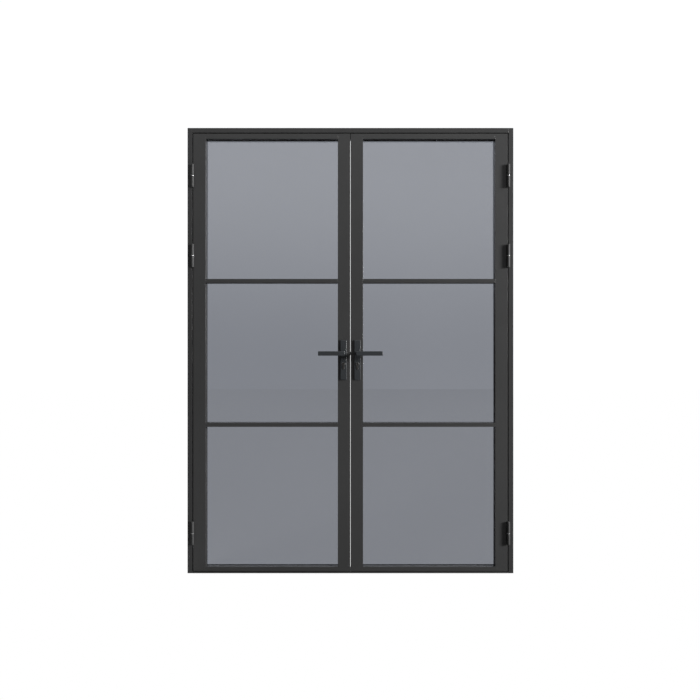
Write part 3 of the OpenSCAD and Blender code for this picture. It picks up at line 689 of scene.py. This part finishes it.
@dataclass
class Surround:
    """The fixed frame: two rebated jambs, the head, the threshold and the seals on the stops."""

    front: float = field(default_factory=lambda: low("right_jamb")[1])
    back: float = field(default_factory=lambda: high("right_jamb")[1])
    stop: float = field(default_factory=lambda: high("frame_seals")[1])
    outer: float = field(default_factory=lambda: high("right_jamb")[0])
    stop_x: float = field(default_factory=lambda: low("right_jamb")[0])
    face: float = field(default_factory=lambda: high("threshold")[0])
    top: float = field(default_factory=lambda: high("head")[2])
    stop_z: float = field(default_factory=lambda: low("head")[2])
    sill: float = field(default_factory=lambda: high("threshold")[2])
    arris: float = 0.5 * MM
    joint: float = 0.5 * MM
    fixing: float = 4.0 * MM
    fixing_heights: tuple[float, ...] = (0.25, 0.75, 1.25, 1.75)
    screw_rows: tuple[float, ...] = (-12.0 * MM, 12.0 * MM)
    bolt_x: float = field(default_factory=lambda: (low("top_shoot_bolt")[0] + high("top_shoot_bolt")[0]) / 2)
    bolt_hole: float = 4.6 * MM
    bolt_hole_depth: float = 14 * MM
    head_screw: tuple[float, float, float] = (2.55 * MM, 5.05 * MM, 2.5 * MM)
    sill_screw: tuple[float, float, float] = (1.65 * MM, 2.85 * MM, 1.6 * MM)
    screw_length: float = 0.03
    seal_width: float = 7 * MM
    seal_dome: float = 1.6 * MM

    @property
    def head_z(self) -> float:
        """Height of the head's underside in front of the stop."""
        return self.top - (self.outer - self.face)

    def jamb(self, side: Side) -> None:
        """One jamb: an L-shaped profile along z, with the wall fixings' holes and screws' countersinks."""
        corners = ((self.face, self.front), (self.outer, self.front), (self.outer, self.back),
                   (self.stop_x, self.back), (self.stop_x, self.stop), (self.face, self.stop))
        shell = sweep(Outline(corners, self.arris), Axis.Z, 0.0, self.top, self.joint)
        middle = (self.stop + self.back) / 2
        cutters = [rod(self.fixing, Axis.X, (middle, z), self.stop_x - MM, self.outer + MM)
                   for z in self.fixing_heights]
        screws = ((self.head_screw, (self.head_z + self.top) / 2), (self.sill_screw, self.sill / 2))
        for y in self.screw_rows:
            for screw, z in screws:
                cutters.append(countersink(*screw, self.screw_length, Axis.X, (y, z), self.outer, -1))
        fit(f"{side.word}_jamb", "frame", shell.on(side), [cutter.on(side) for cutter in cutters])

    def head(self) -> None:
        """The head: a front bar between the jambs' faces and a stop behind it, bored for the shoot bolt."""
        front = Outline(rect((self.front, self.head_z), (self.stop, self.top)), self.arris)
        lap = self.stop - 4 * MM
        corners = ((lap, self.head_z + 2 * MM), (self.stop, self.stop_z), (self.back, self.stop_z),
                   (self.back, self.top), (lap, self.top))
        rear = Outline(corners, (0.1 * MM,) + (self.arris,) * 3 + (0.1 * MM,))
        parts = [sweep(front, Axis.X, -self.face, self.face, self.joint),
                 sweep(rear, Axis.X, -self.stop_x, self.stop_x, self.joint)]
        bore = rod(self.bolt_hole, Axis.Z, (self.bolt_x, 0.0), self.head_z - MM,
                   self.head_z + self.bolt_hole_depth)
        fit("head", "frame", joined(parts), [bore], welded=True)

    def threshold(self) -> None:
        """The threshold plate: a flat bar with two shallow drip grooves, narrower between the stops."""
        groove, depth = 2.5 * MM, 1.2 * MM
        first, second = self.front + 9 * MM, self.front + 15 * MM
        plan = [(self.front, 0.0), (self.stop, 0.0), (self.stop, self.sill)]
        for y in (second, first):
            plan += [(y + groove, self.sill), (y + groove, self.sill - depth),
                     (y, self.sill - depth), (y, self.sill)]
        plan.append((self.front, self.sill))
        radii = (0.3 * MM,) * 3 + (0.4 * MM,) * 8 + (2.0 * MM,)
        front = sweep(Outline(tuple(plan), radii, 4), Axis.X, -self.face, self.face, 0.3 * MM)
        behind = Outline(rect((self.stop, 0.0), (self.back, self.sill)), 0.6 * MM)
        rear = sweep(behind, Axis.X, -self.stop_x, self.stop_x, 0.3 * MM)
        bore = rod(self.bolt_hole, Axis.Z, (self.bolt_x, 0.0), -MM, self.sill + MM)
        fit("threshold", "frame", joined([front, rear]), [bore])

    def seals(self) -> None:
        """The bubble seals on the three stops: flat against the stop and domed towards the leaves."""
        seal_y, width, dome, soft = low("frame_seals")[1], self.seal_width, self.seal_dome, 0.3 * MM
        edge = self.stop_x + MM
        start, upper = low("frame_seals")[2], self.stop_z + MM
        beside = Outline(rect((edge, seal_y), (edge + width, self.stop)), (dome, dome, soft, soft), 6)
        upright = sweep(beside, Axis.Z, start, self.stop_z, soft)
        span = high("frame_seals")[0]
        over = Outline(rect((seal_y, upper), (self.stop, upper + width)), (dome, soft, soft, dome), 6)
        across = sweep(over, Axis.X, -span, span, soft)
        fit("frame_seals", "frame", joined([upright.on(side) for side in Side] + [across]))

    def build(self) -> None:
        """Builds every piece of the frame."""
        for side in Side:
            self.jamb(side)
        self.head()
        self.threshold()
        self.seals()


# ---- hinges ----


@dataclass
class Hinges:
    """The three lift-off hinges of one side: a knuckle and plate on the jamb, and its twin on the leaf."""

    side: Side
    height: float = 107 * MM
    washer: float = 1.5 * MM
    barrel: float = 7 * MM
    dome: float = 2.6 * MM
    plate: float = 1.8 * MM
    plate_depth: float = 30 * MM
    pin_start: float = 5.5 * MM
    washer_radius: float = 7.2 * MM
    top_to_middle: float = 0.368
    screws: tuple[tuple[float, float], ...] = ((8, 42), (22, 16), (22, -16), (8, -42))
    screw: tuple[float, float, float] = (2.15 * MM, 3.85 * MM, 1.7 * MM)
    leaf_x: float = field(default_factory=lambda: high("right_hinge_stile")[0])
    jamb_x: float = field(default_factory=lambda: high("threshold")[0])
    face: float = field(default_factory=lambda: low("right_hinge_stile")[1])

    def middles(self) -> list[float]:
        """Heights of the hinges' middles: the lowest from its pin, the highest from the leaf's own hinges."""
        first = low("hinge_pins")[2] + (self.height - self.washer) / 2 - self.pin_start + self.washer / 2
        last = high("right_leaf_hinges")[2] - self.height / 2
        return [first, last - self.top_to_middle, last]

    def half(self, near: float) -> Shell:
        """One half hinge above its washer: a domed knuckle about the pin, and an L-shaped plate beside it.

        Args:
            near: the plate's near face, along x.

        Returns:
            The half hinge's shell, its washer's top at z = 0.
        """
        tall = (self.height - self.washer) / 2
        pin_x, pin_y = (self.leaf_x + self.jamb_x) / 2, low("hinge_pins")[1] + self.washer_radius
        angle = np.linspace(0, math.pi / 2, 7)
        crown = [(self.barrel - self.dome * (1 - math.cos(a)), tall - self.dome * (1 - math.sin(a)))
                 for a in angle]
        base = [(self.barrel - 0.35 * MM, 0.0), (self.barrel, 0.35 * MM)]
        groove = self.barrel - 0.25 * MM
        ring = [(self.barrel, 3.2 * MM), (groove, 3.4 * MM), (groove, 4.0 * MM), (self.barrel, 4.2 * MM)]
        knuckle = turned(base + ring + crown, Axis.Z, (pin_x, pin_y))
        low_z, shoulder = -tall - self.washer, tall - self.dome
        far = self.face + self.plate_depth
        corners = ((far, low_z), (far, tall), (self.face, tall), (self.face, shoulder), (pin_y, shoulder),
                   (pin_y, 0.0), (self.face, 0.0), (self.face, low_z))
        radii = tuple(r * MM for r in (4.0, 4.0, 0.4, 0.1, 0.1, 0.1, 0.4, 0.4))
        plate = sweep(Outline(corners, radii), Axis.X, near, near + self.plate, 0.25 * MM)
        return joined([knuckle, plate])

    def build(self) -> None:
        """Builds both halves of the side's three hinges, countersunk for their screws."""
        word = self.side.word
        leaf_half, jamb_half = self.half(self.leaf_x), self.half(self.jamb_x - self.plate).mirrored(2)
        up, down, leaf_cuts, jamb_cuts = [], [], [], []
        for middle in self.middles():
            up.append(leaf_half.moved(z=middle + self.washer / 2).on(self.side))
            down.append(jamb_half.moved(z=middle - self.washer / 2).on(self.side))
            for y, z in self.screws:
                spot = (self.face + y * MM, middle + z * MM)
                for cuts, face, way in ((leaf_cuts, self.leaf_x + self.plate, -1),
                                        (jamb_cuts, self.jamb_x - self.plate, 1)):
                    cuts.append(countersink(*self.screw, 4 * MM, Axis.X, spot, face, way).on(self.side))
        fit(f"{word}_leaf_hinges", f"{word}_leaf", joined(up), leaf_cuts)
        fit(f"{word}_jamb_hinges", "frame", joined(down), jamb_cuts)


# ---- a leaf ----


@dataclass
class Leaf:
    """One glazed leaf: stiles, rails, glazing bars, three panes with their gaskets and beads."""

    side: Side
    wall: float = 2 * MM
    edge_wall: float = 4 * MM
    end_wall: float = 3 * MM
    arris: float = 0.5 * MM
    joint: float = 0.5 * MM
    meet: float = field(default_factory=lambda: low("right_meeting_stile")[0])
    day_left: float = field(default_factory=lambda: high("right_meeting_stile")[0])
    day_right: float = field(default_factory=lambda: low("right_hinge_stile")[0])
    rebate: float = field(default_factory=lambda: high("right_gaskets")[0] - low("right_hinge_stile")[0])
    bite: float = field(default_factory=lambda: high("right_glass_top")[0] - low("right_hinge_stile")[0])
    edge: float = field(default_factory=lambda: high("right_hinge_stile")[0])
    front: float = field(default_factory=lambda: low("right_hinge_stile")[1])
    back: float = field(default_factory=lambda: high("right_hinge_stile")[1])
    shoulder: float = field(default_factory=lambda: low("right_gaskets")[1])
    bottom: float = field(default_factory=lambda: low("right_hinge_stile")[2])
    top: float = field(default_factory=lambda: high("right_hinge_stile")[2])
    faceplate: float = 2 * MM
    faceplate_lap: float = 0.0199
    case_room: float = 8.1 * MM
    neck_hole: float = 7.2 * MM
    post_rises: tuple[float, float] = (50 * MM, -111 * MM)
    post_hole: float = 4.05 * MM
    post_screw_hole: float = 2.5 * MM
    bolt_x: float = 23 * MM
    bolt_hole: float = 4.1 * MM
    fin_y: tuple[float, float] = (-19.5 * MM, -14.5 * MM)
    fin_height: float = 0.7 * MM

    @property
    def body(self) -> str:
        """The leaf's body."""
        return f"{self.side.word}_leaf"

    def panes(self) -> list[tuple[float, float]]:
        """Bottom and top of each pane's daylight opening."""
        names = [f"right_glass_{word}" for word in ("bottom", "middle", "top")]
        return [(low(name)[2] + self.bite, high(name)[2] - self.bite) for name in names]

    def put(self, part: str, shell: Shell, cutters: Sequence[Shell] = (), welded: bool = False) -> None:
        """Fits a piece drawn on the right onto this leaf's side."""
        fit(f"{self.side.word}_{part}", self.body, shell.on(self.side),
            [cutter.on(self.side) for cutter in cutters], welded)

    def hinge_stile(self) -> None:
        """The stile that carries the hinges: a rebated profile along z."""
        corners = ((self.day_right, self.front), (self.edge, self.front), (self.edge, self.back),
                   (self.day_right + self.rebate, self.back), (self.day_right + self.rebate, self.shoulder),
                   (self.day_right, self.shoulder))
        outline = Outline(corners, self.arris)
        self.put("hinge_stile", sweep(outline, Axis.Z, self.bottom, self.top, self.joint))

    def meeting_corners(self, inset: float, edge: float) -> tuple[tuple[float, float], ...]:
        """The meeting stile's corners, moved in by inset, and by edge on the meeting side."""
        near, far, step = self.meet + edge, self.day_left - inset, self.day_left - self.rebate - inset
        return ((near, self.front + inset), (far, self.front + inset), (far, self.shoulder - inset),
                (step, self.shoulder - inset), (step, self.back - inset), (near, self.back - inset))

    def meeting_stile(self) -> None:
        """The hollow stile round the lock: recessed for the faceplate, bored for the furniture."""
        skin_outline = Outline(self.meeting_corners(0.0, 0.0), self.arris)
        outer = sweep(skin_outline, Axis.Z, self.bottom, self.top, self.joint)
        inner = sweep(Outline(self.meeting_corners(self.wall, self.edge_wall), 0.3 * MM, 2), Axis.Z,
                      self.bottom + self.end_wall, self.top - self.end_wall, 0.0, steps=1).flipped()
        lock = "right_lock_case"
        case_x, case_y = self.meet + self.faceplate, self.case_room
        plate_y = high(lock)[1] + 0.1 * MM
        z0, z1 = low(lock)[2] - 0.1 * MM, high(lock)[2] + 0.1 * MM
        cutters = [block((self.meet - MM, -plate_y, z0), (case_x, plate_y, z1)),
                   block((case_x - 0.2 * MM, -case_y, z0 + self.faceplate_lap),
                         (self.meet + self.edge_wall + MM, case_y, z1 - self.faceplate_lap))]
        cutters.append(rod(self.neck_hole, Axis.Y, (HANDLE_X, LEVER_Z), self.front - MM, self.back + MM))
        cutters.append(sweep(CYLINDER_HOLE, Axis.Y, self.front - MM, self.back + MM, 0.0, steps=1))
        for rise in self.post_rises:
            spot = (HANDLE_X, LEVER_Z + rise)
            cutters.append(rod(self.post_hole, Axis.Y, spot, self.front - MM, self.front + 3 * MM))
            cutters.append(rod(self.post_screw_hole, Axis.Y, spot, self.back - 3 * MM, self.back + MM))
        if self.side is Side.LEFT:
            bolt = (self.bolt_x, 0.0)
            cutters.append(rod(self.bolt_hole, Axis.Z, bolt, self.bottom - MM, self.bottom + 4 * MM))
            cutters.append(rod(self.bolt_hole, Axis.Z, bolt, self.top - 4 * MM, self.top + MM))
        self.put("meeting_stile", joined([outer, inner]), cutters, welded=True)

    def rail(self, z0: float, z1: float, below: float, above: float) -> Shell:
        """A rail or glazing bar: its face between the stiles, and its web behind, let into their rebates.

        Args:
            z0: its lower edge.
            z1: its upper edge.
            below: how far the web steps up from the lower edge.
            above: how far the web steps down from the upper edge.

        Returns:
            The rail's shell.
        """
        face = Outline(rect((self.front, z0), (self.shoulder, z1)), self.arris)
        web = Outline(rect((self.shoulder, z0 + below), (self.back, z1 - above)), 0.5 * MM)
        start, end = self.day_left - self.rebate, self.day_right + self.rebate
        return joined([sweep(face, Axis.X, self.day_left, self.day_right, self.joint),
                       sweep(web, Axis.X, start, end, 0.2 * MM)])

    def rails(self) -> None:
        """Top rail, bottom rail and both glazing bars."""
        panes = self.panes()
        self.put("bottom_rail", self.rail(self.bottom, panes[0][0], 0.0, self.rebate))
        self.put("top_rail", self.rail(panes[-1][1], self.top, self.rebate, 0.0))
        bars = [self.rail(first[1], second[0], self.rebate, self.rebate)
                for first, second in zip(panes, panes[1:])]
        self.put("muntins", joined(bars))

    def glazing(self) -> None:
        """The panes with eased edges, their wedge gaskets, and the beads that hold them."""
        gasket, bead = "right_gaskets", "right_beads"
        glass_y = (low("right_glass_top")[1] + 0.05 * MM, high("right_glass_top")[1] - 0.05 * MM)
        rubber, beads = [], []
        for word, (z0, z1) in zip(("bottom", "middle", "top"), self.panes()):
            pane = f"right_glass_{word}"
            sheet = Outline(rect(low(pane)[[0, 2]], high(pane)[[0, 2]]), 0.8 * MM, 3)
            self.put(f"glass_{word}", sweep(sheet, Axis.Y, glass_y[0], glass_y[1], 0.5 * MM, steps=2))
            corners = ((self.day_left, z0), (self.day_right, z1))
            for near, far in ((low(gasket)[1], glass_y[0] - 0.05 * MM),
                              (glass_y[1] + 0.05 * MM, high(gasket)[1])):
                soft, crisp = 0.7 * MM, 0.1 * MM
                lip = Outline(rect((0.0, near), (self.rebate, far)), (soft, crisp, crisp, soft), 4)
                rubber.append(mitred_ring(lip, *corners))
            for share in (0.25, 0.75):
                middle = self.day_left + share * (self.day_right - self.day_left)
                rubber.append(block((middle - 40 * MM, glass_y[0] + 0.2 * MM, z0 - self.rebate),
                                    (middle + 40 * MM, glass_y[1] - 0.2 * MM, z0 - self.bite), 0.2 * MM))
            near, far = low(bead)[1], high(bead)[1]
            upright = Outline(rect((self.day_right, near), (self.day_right + self.rebate, far)),
                              (0.3 * MM, 0.2 * MM, 0.3 * MM, 3.2 * MM), 6)
            tall = sweep(upright, Axis.Z, z0 - self.rebate, z1 + self.rebate, 0.2 * MM)
            beads += [tall, tall.mirrored(0, (self.day_left + self.day_right) / 2)]
            level = Outline(((near, z1), (far, z1), (far, z1 + self.rebate), (near, z1 + self.rebate)),
                            (0.3 * MM, 3.2 * MM, 0.3 * MM, 0.2 * MM), 6)
            wide = sweep(level, Axis.X, self.day_left + 0.2 * MM, self.day_right - 0.2 * MM, 0.3 * MM)
            beads += [wide, wide.mirrored(2, (z0 + z1) / 2)]
        self.put("gaskets", joined(rubber))
        self.put("beads", joined(beads))

    def meeting_seal(self) -> None:
        """The slim rubber fin at the front of the meeting edge: a half-round rib within the gap."""
        corners = rect((self.meet - self.fin_height, self.fin_y[0]), (self.meet + 0.1 * MM, self.fin_y[1]))
        rib = Outline(corners, (0.6 * MM, 0.05 * MM, 0.05 * MM, 0.6 * MM), 5)
        fin = sweep(rib, Axis.Z, self.bottom + 2 * MM, self.top - 2 * MM, 0.2 * MM)
        piece = mesh_object(f"{self.side.word}_meeting_seal", fin.on(self.side))
        piece.data.materials.append(SEAL_RUBBER.material())
        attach(piece, self.body)

    def build(self) -> None:
        """Builds every piece of the leaf but its lock and handles."""
        self.hinge_stile()
        self.meeting_stile()
        self.rails()
        self.glazing()
        self.meeting_seal()


# ---- handles and locks ----


@dataclass
class HandleSet:
    """The furniture of one leaf: two long plates, two flat levers, and the cylinder with its plug."""

    side: Side
    x: float = HANDLE_X
    lever_z: float = LEVER_Z
    barrel_z: float = BARREL_Z
    plate_low: Sequence[float] = field(default_factory=lambda: low("right_front_plate"))
    plate_high: Sequence[float] = field(default_factory=lambda: high("right_front_plate"))
    face: float = field(default_factory=lambda: low("right_hinge_stile")[1])
    plate: float = 6 * MM
    neck: float = 7 * MM
    bar: float = 8 * MM
    collar: float = 10.5 * MM
    screw: tuple[float, float, float] = (2.45 * MM, 4.45 * MM, 2.6 * MM)
    screw_inset: float = 11 * MM
    post: float = 4 * MM
    post_length: float = 28 * MM
    grub_hole: float = 2.1 * MM
    grub_back: float = 18 * MM
    plug: float = 6.5 * MM
    hub: float = 8 * MM
    cam_reach: float = 11.6 * MM

    def plates(self) -> None:
        """The plates: a rounded rectangle with a soft edge and a raised collar round the lever's neck."""
        corners = rect((self.plate_low[0], self.plate_low[2]), (self.plate_high[0], self.plate_high[2]))
        outline = Outline(corners, 3 * MM, 6)
        outer = self.face - self.plate
        slab = sweep(outline, Axis.Y, outer, self.face, 1.8 * MM, 0.1 * MM, steps=6)
        profile = [(self.collar - 0.5 * MM, outer - 0.9 * MM), (self.collar - 0.15 * MM, outer - 0.75 * MM),
                   (self.collar, outer - 0.4 * MM), (self.collar, outer + MM)]
        ring = turned(profile, Axis.Y, (self.x, self.lever_z))
        holes = [rod(self.neck + 0.15 * MM, Axis.Y, (self.x, self.lever_z), outer - 2 * MM, self.face + MM),
                 sweep(CYLINDER_HOLE, Axis.Y, outer - MM, self.face + MM, 0.0, steps=1)]
        posts, screws = [], []
        for height in (self.plate_high[2] - self.screw_inset, self.plate_low[2] + self.screw_inset):
            spot, tip = (self.x, height), self.face + self.post_length
            posts.append(rod(self.post, Axis.Y, spot, self.face - MM, tip, 0.4 * MM))
            screws.append(countersink(*self.screw, 8 * MM, Axis.Y, spot, -outer, -1))
        word = self.side.word
        fit(f"{word}_front_plate", f"{word}_leaf", joined([slab, ring] + posts).on(self.side),
            [hole.on(self.side) for hole in holes], welded=True)
        back = joined([slab, ring]).mirrored(1)
        cuts = [hole.mirrored(1) for hole in holes] + screws
        fit(f"{word}_back_plate", f"{word}_leaf", back.on(self.side),
            [cut.on(self.side) for cut in cuts], welded=True)

    def lever(self) -> Shell:
        """The front lever: a flat bar with rounded edges on a round neck with a groove near the plate."""
        bar_low, bar_high = low("right_front_lever"), high("right_front_lever")
        corners = rect((bar_low[0], bar_low[2]), (bar_high[0], bar_high[2]))
        radii = (6 * MM, 2.2 * MM, 2.2 * MM, 6 * MM)
        bar = sweep(Outline(corners, radii, 7), Axis.Y, bar_low[1], bar_low[1] + self.bar, 2.0 * MM, steps=6)
        root, end = bar_low[1] + self.bar - MM, bar_high[1]
        slim, groove = self.neck - 0.3 * MM, self.neck - 0.8 * MM
        profile = [(slim, root), (slim, end - 8 * MM), (groove, end - 7.5 * MM), (groove, end - 7 * MM),
                   (self.neck, end - 6.5 * MM), (self.neck, end - 0.3 * MM), (slim, end)]
        return joined([bar, turned(profile, Axis.Y, (self.x, self.lever_z))])

    def levers(self) -> None:
        """Both levers, bored below for the grub screws."""
        word = self.side.word
        grub = (self.x, self.face - self.plate - self.grub_back)
        hole = rod(self.grub_hole, Axis.Z, grub, self.lever_z - self.neck - MM, self.lever_z - 3 * MM)
        front = (self.lever(), hole)
        back = tuple(shape.mirrored(1) for shape in front)
        for place, (bar, cut) in (("front", front), ("back", back)):
            fit(f"{word}_{place}_lever", f"{word}_lever", bar.on(self.side), [cut.on(self.side)], welded=True)

    def cylinder(self) -> None:
        """The profile cylinder's body and its plug: eased rims, the cam's slot, and a keyway at each end."""
        half = high("right_cylinder")[1]
        keyhole = KeyholeOutline(self.x, self.barrel_z, CYLINDER_RADIUS, CYLINDER_WEB, CYLINDER_END)
        body = sweep(keyhole, Axis.Y, -half, half, 0.6 * MM, steps=4)
        centre = (self.x, self.barrel_z)
        bore = rod(self.plug + 0.05 * MM, Axis.Y, centre, -half - MM, half + MM)
        slot = block((self.x - 9.5 * MM, -5 * MM, self.barrel_z - 12.5 * MM),
                     (self.x + 9.5 * MM, 5 * MM, self.barrel_z + 9.5 * MM))
        word = self.side.word
        fit(f"{word}_cylinder", f"{word}_leaf", body.on(self.side), [slot.on(self.side), bore.on(self.side)])
        core = rod(self.plug, Axis.Y, centre, -half, half, 0.5 * MM)
        hub = rod(self.hub, Axis.Y, centre, -4.8 * MM, 4.8 * MM, 0.3 * MM)
        cam = block((self.x - 3 * MM, -4.7 * MM, self.barrel_z),
                    (self.x + 3 * MM, 4.7 * MM, self.barrel_z + self.cam_reach), 0.4 * MM)
        key_half, key_depth, key_tall = 0.8 * MM, 6 * MM, 4.5 * MM
        keyways = []
        for end in (-half, half):
            keyways.append(block((self.x - key_half, end - key_depth, self.barrel_z - key_tall),
                                 (self.x + key_half, end + key_depth, self.barrel_z + key_tall), 0.1 * MM))
        fit(f"{word}_plug", f"{word}_plug", joined([core, hub, cam]).on(self.side),
            [cut.on(self.side) for cut in keyways], welded=True)

    def build(self) -> None:
        """Builds all the furniture."""
        self.plates()
        self.levers()
        self.cylinder()


@dataclass
class Bolts:
    """The moving bolts: the slanted latch, the square deadbolt and the two round shoot bolts."""

    rim: float = 0.5 * MM

    def build(self) -> None:
        """Builds all four bolts with eased edges."""
        a, b = low("latch_bolt"), high("latch_bolt")
        slant = ((a[0], a[1]), (b[0], a[1]), (b[0], b[1]), (b[0] - 11 * MM, b[1]), (a[0], a[1] + 2 * MM))
        radii = (0.6 * MM, self.rim, self.rim, 0.8 * MM, 0.8 * MM)
        fit("latch_bolt", "latch_bolt", sweep(Outline(slant, radii, 4), Axis.Z, a[2], b[2], self.rim))
        fit("deadbolt", "deadbolt", block(low("deadbolt"), high("deadbolt"), self.rim))
        for node in ("top_shoot_bolt", "bottom_shoot_bolt"):
            a, b = low(node), high(node)
            centre = ((a[0] + b[0]) / 2, (a[1] + b[1]) / 2)
            fit(node, node, rod((b[0] - a[0]) / 2, Axis.Z, centre, a[2], b[2], 1.2 * MM))


def dress_kept_nodes() -> None:
    """Gives every CAD node its finish by its slot; those that are replaced stay hidden."""
    for part in frame["record"]["subparts"]:
        node = frame["nodes"][part["node"]]
        finish = SLOT_FINISH[part["material_slot"]].material()
        for slot in node.material_slots:
            slot.material = finish
        if not node.material_slots:
            node.data.materials.append(finish)


# ---- studio ----


@dataclass
class Studio:
    """A white room: a pale floor, a soft key from the upper right, a weaker rear light and the camera."""

    distance: float = 3.2
    width: float = 3.2225
    aim: tuple[float, float] = (-0.002, 1.0277)
    key_place: tuple[float, float, float] = (12.1, -5.4, 3.6)
    key_size: float = 3.3
    key_power: float = 4000.0
    rear_place: tuple[float, float, float] = (-4.5, 5.5, 4.2)
    rear_size: float = 2.5
    rear_power: float = 900.0
    white: float = 1.04
    ambient: float = 0.05
    overhead: float = 0.9
    mirror_low: float = 0.12
    mirror_high: float = 1.75
    mirror_right: float = 0.3
    floor_size: float = 30.0

    def floor(self) -> None:
        """A wide pale floor just under the frame."""
        z = CAD_BOX[0][2] - 0.2 * MM
        half = self.floor_size / 2
        points = np.array([(-half, -half, z), (half, -half, z), (half, half, z), (-half, half, z)])
        plane = mesh_object("studio_floor", Shell(points, [[0, 1, 2, 3]]))
        made = bpy.data.materials.new("pale_floor")
        made.use_nodes = True
        graph = Graph(made.node_tree)
        mottle = graph.noise(graph.place(), 3.0)
        matt = graph.add("ShaderNodeBsdfDiffuse", None, {"Color": graph.tint(mottle, grey(0.24), grey(0.26))})
        glow = graph.add("ShaderNodeEmission", None, {"Color": grey(1.0), "Strength": 1.0})
        shader = graph.add("ShaderNodeMixShader", None, {0: self._rays(graph)["seen"], 1: matt, 2: glow})
        graph.add("ShaderNodeOutputMaterial", None, {"Surface": shader})
        plane.data.materials.append(made)

    def world(self) -> None:
        """White where it is looked at, dim where it lights, and brighter overhead in reflections."""
        world = bpy.data.worlds.new("studio")
        bpy.context.scene.world = world
        world.use_nodes = True
        graph = Graph(world.node_tree)
        way = graph.add("ShaderNodeTexCoord", out="Generated")
        height = graph.add("ShaderNodeSeparateXYZ", None, {0: way}, out="Z")
        rise = graph.ramp(height, -0.02, 0.26)
        right = graph.ramp(graph.add("ShaderNodeSeparateXYZ", None, {0: way}, out="X"), -0.12, 0.12)
        mirror = self.mirror_low + rise * self.mirror_high + (1 - rise) * right * self.mirror_right
        sheen = self.ambient + graph.ramp(height, 0.10, 0.45) * self.overhead
        rays = self._rays(graph)
        lit = rays["glossy"] * sheen + (1 - rays["glossy"]) * self.ambient
        unseen = rays["mirror"] * mirror + (1 - rays["mirror"]) * lit
        strength = rays["seen"] * self.white + (1 - rays["seen"]) * unseen
        sky = {"Color": (0.985, 0.99, 1.0, 1.0), "Strength": strength}
        back = graph.add("ShaderNodeBackground", None, sky)
        graph.add("ShaderNodeOutputWorld", None, {"Surface": back})

    @staticmethod
    def _rays(graph: Graph) -> dict[str, Wire]:
        """What a ray is: looked along, or on through glass, before any reflection; singular; or glossy."""
        camera = graph.add("ShaderNodeLightPath", out="Is Camera Ray")
        through = graph.add("ShaderNodeLightPath", out="Is Transmission Ray")
        looked = graph.add("ShaderNodeMath", {"operation": "MAXIMUM"}, {0: camera, 1: through})
        bounces = graph.add("ShaderNodeLightPath", out="Glossy Depth")
        direct = graph.add("ShaderNodeMath", {"operation": "LESS_THAN"}, {0: bounces, 1: 0.5})
        return {"seen": looked * direct, "mirror": graph.add("ShaderNodeLightPath", out="Is Singular Ray"),
                "glossy": graph.add("ShaderNodeLightPath", out="Is Glossy Ray")}

    def light(self, name: str, place: Sequence[float], power: float, size: float, mirrored: bool) -> None:
        """A square soft light that faces the doors' middle and isn't seen through the glass.

        Args:
            name: the light's name.
            place: where it stands.
            power: its power in watts.
            size: its width.
            mirrored: whether it shows in glossy surfaces.
        """
        data = bpy.data.lights.new(name, "AREA")
        data.energy, data.size = power, size
        lamp = bpy.data.objects.new(name, data)
        lamp.visible_camera = lamp.visible_transmission = False
        lamp.visible_glossy = mirrored
        lamp.location = place
        middle = (np.array(CAD_BOX[0]) + np.array(CAD_BOX[1])) / 2
        lamp.rotation_euler = self.facing(np.array(place) - middle)
        bpy.context.scene.collection.objects.link(lamp)

    @staticmethod
    def facing(away: np.ndarray) -> tuple[float, float, float]:
        """The turn that points an object's -z at the spot it stands away from: a tilt, then a heading."""
        flat = math.hypot(away[0], away[1])
        return (math.atan2(flat, away[2]), 0.0, math.atan2(away[0], -away[1]))

    def camera(self) -> None:
        """A level camera straight in front of the leaves' faces."""
        data = bpy.data.cameras.new("camera")
        data.sensor_width = 36.0
        data.lens = data.sensor_width * self.distance / self.width
        eye = bpy.data.objects.new("camera", data)
        face = low("right_hinge_stile")[1]
        eye.location = (self.aim[0], face - self.distance, self.aim[1])
        eye.rotation_euler = (math.pi / 2, 0.0, 0.0)
        bpy.context.scene.collection.objects.link(eye)
        bpy.context.scene.camera = eye

    def build(self) -> None:
        """Sets up floor, world, lights and camera."""
        self.floor()
        self.world()
        self.light("key", self.key_place, self.key_power, self.key_size, True)
        self.light("rear", self.rear_place, self.rear_power, self.rear_size, False)
        self.camera()
        bpy.context.scene.view_settings.view_transform = "Standard"


def main() -> None:
    """Builds everything in order."""
    logging.basicConfig(level=logging.INFO, format="%(name)s: %(message)s")
    dress_kept_nodes()
    Surround().build()
    for side in Side:
        Hinges(side).build()
        Leaf(side).build()
        HandleSet(side).build()
    Bolts().build()
    Studio().build()


if __name__ == "__main__":
    main()
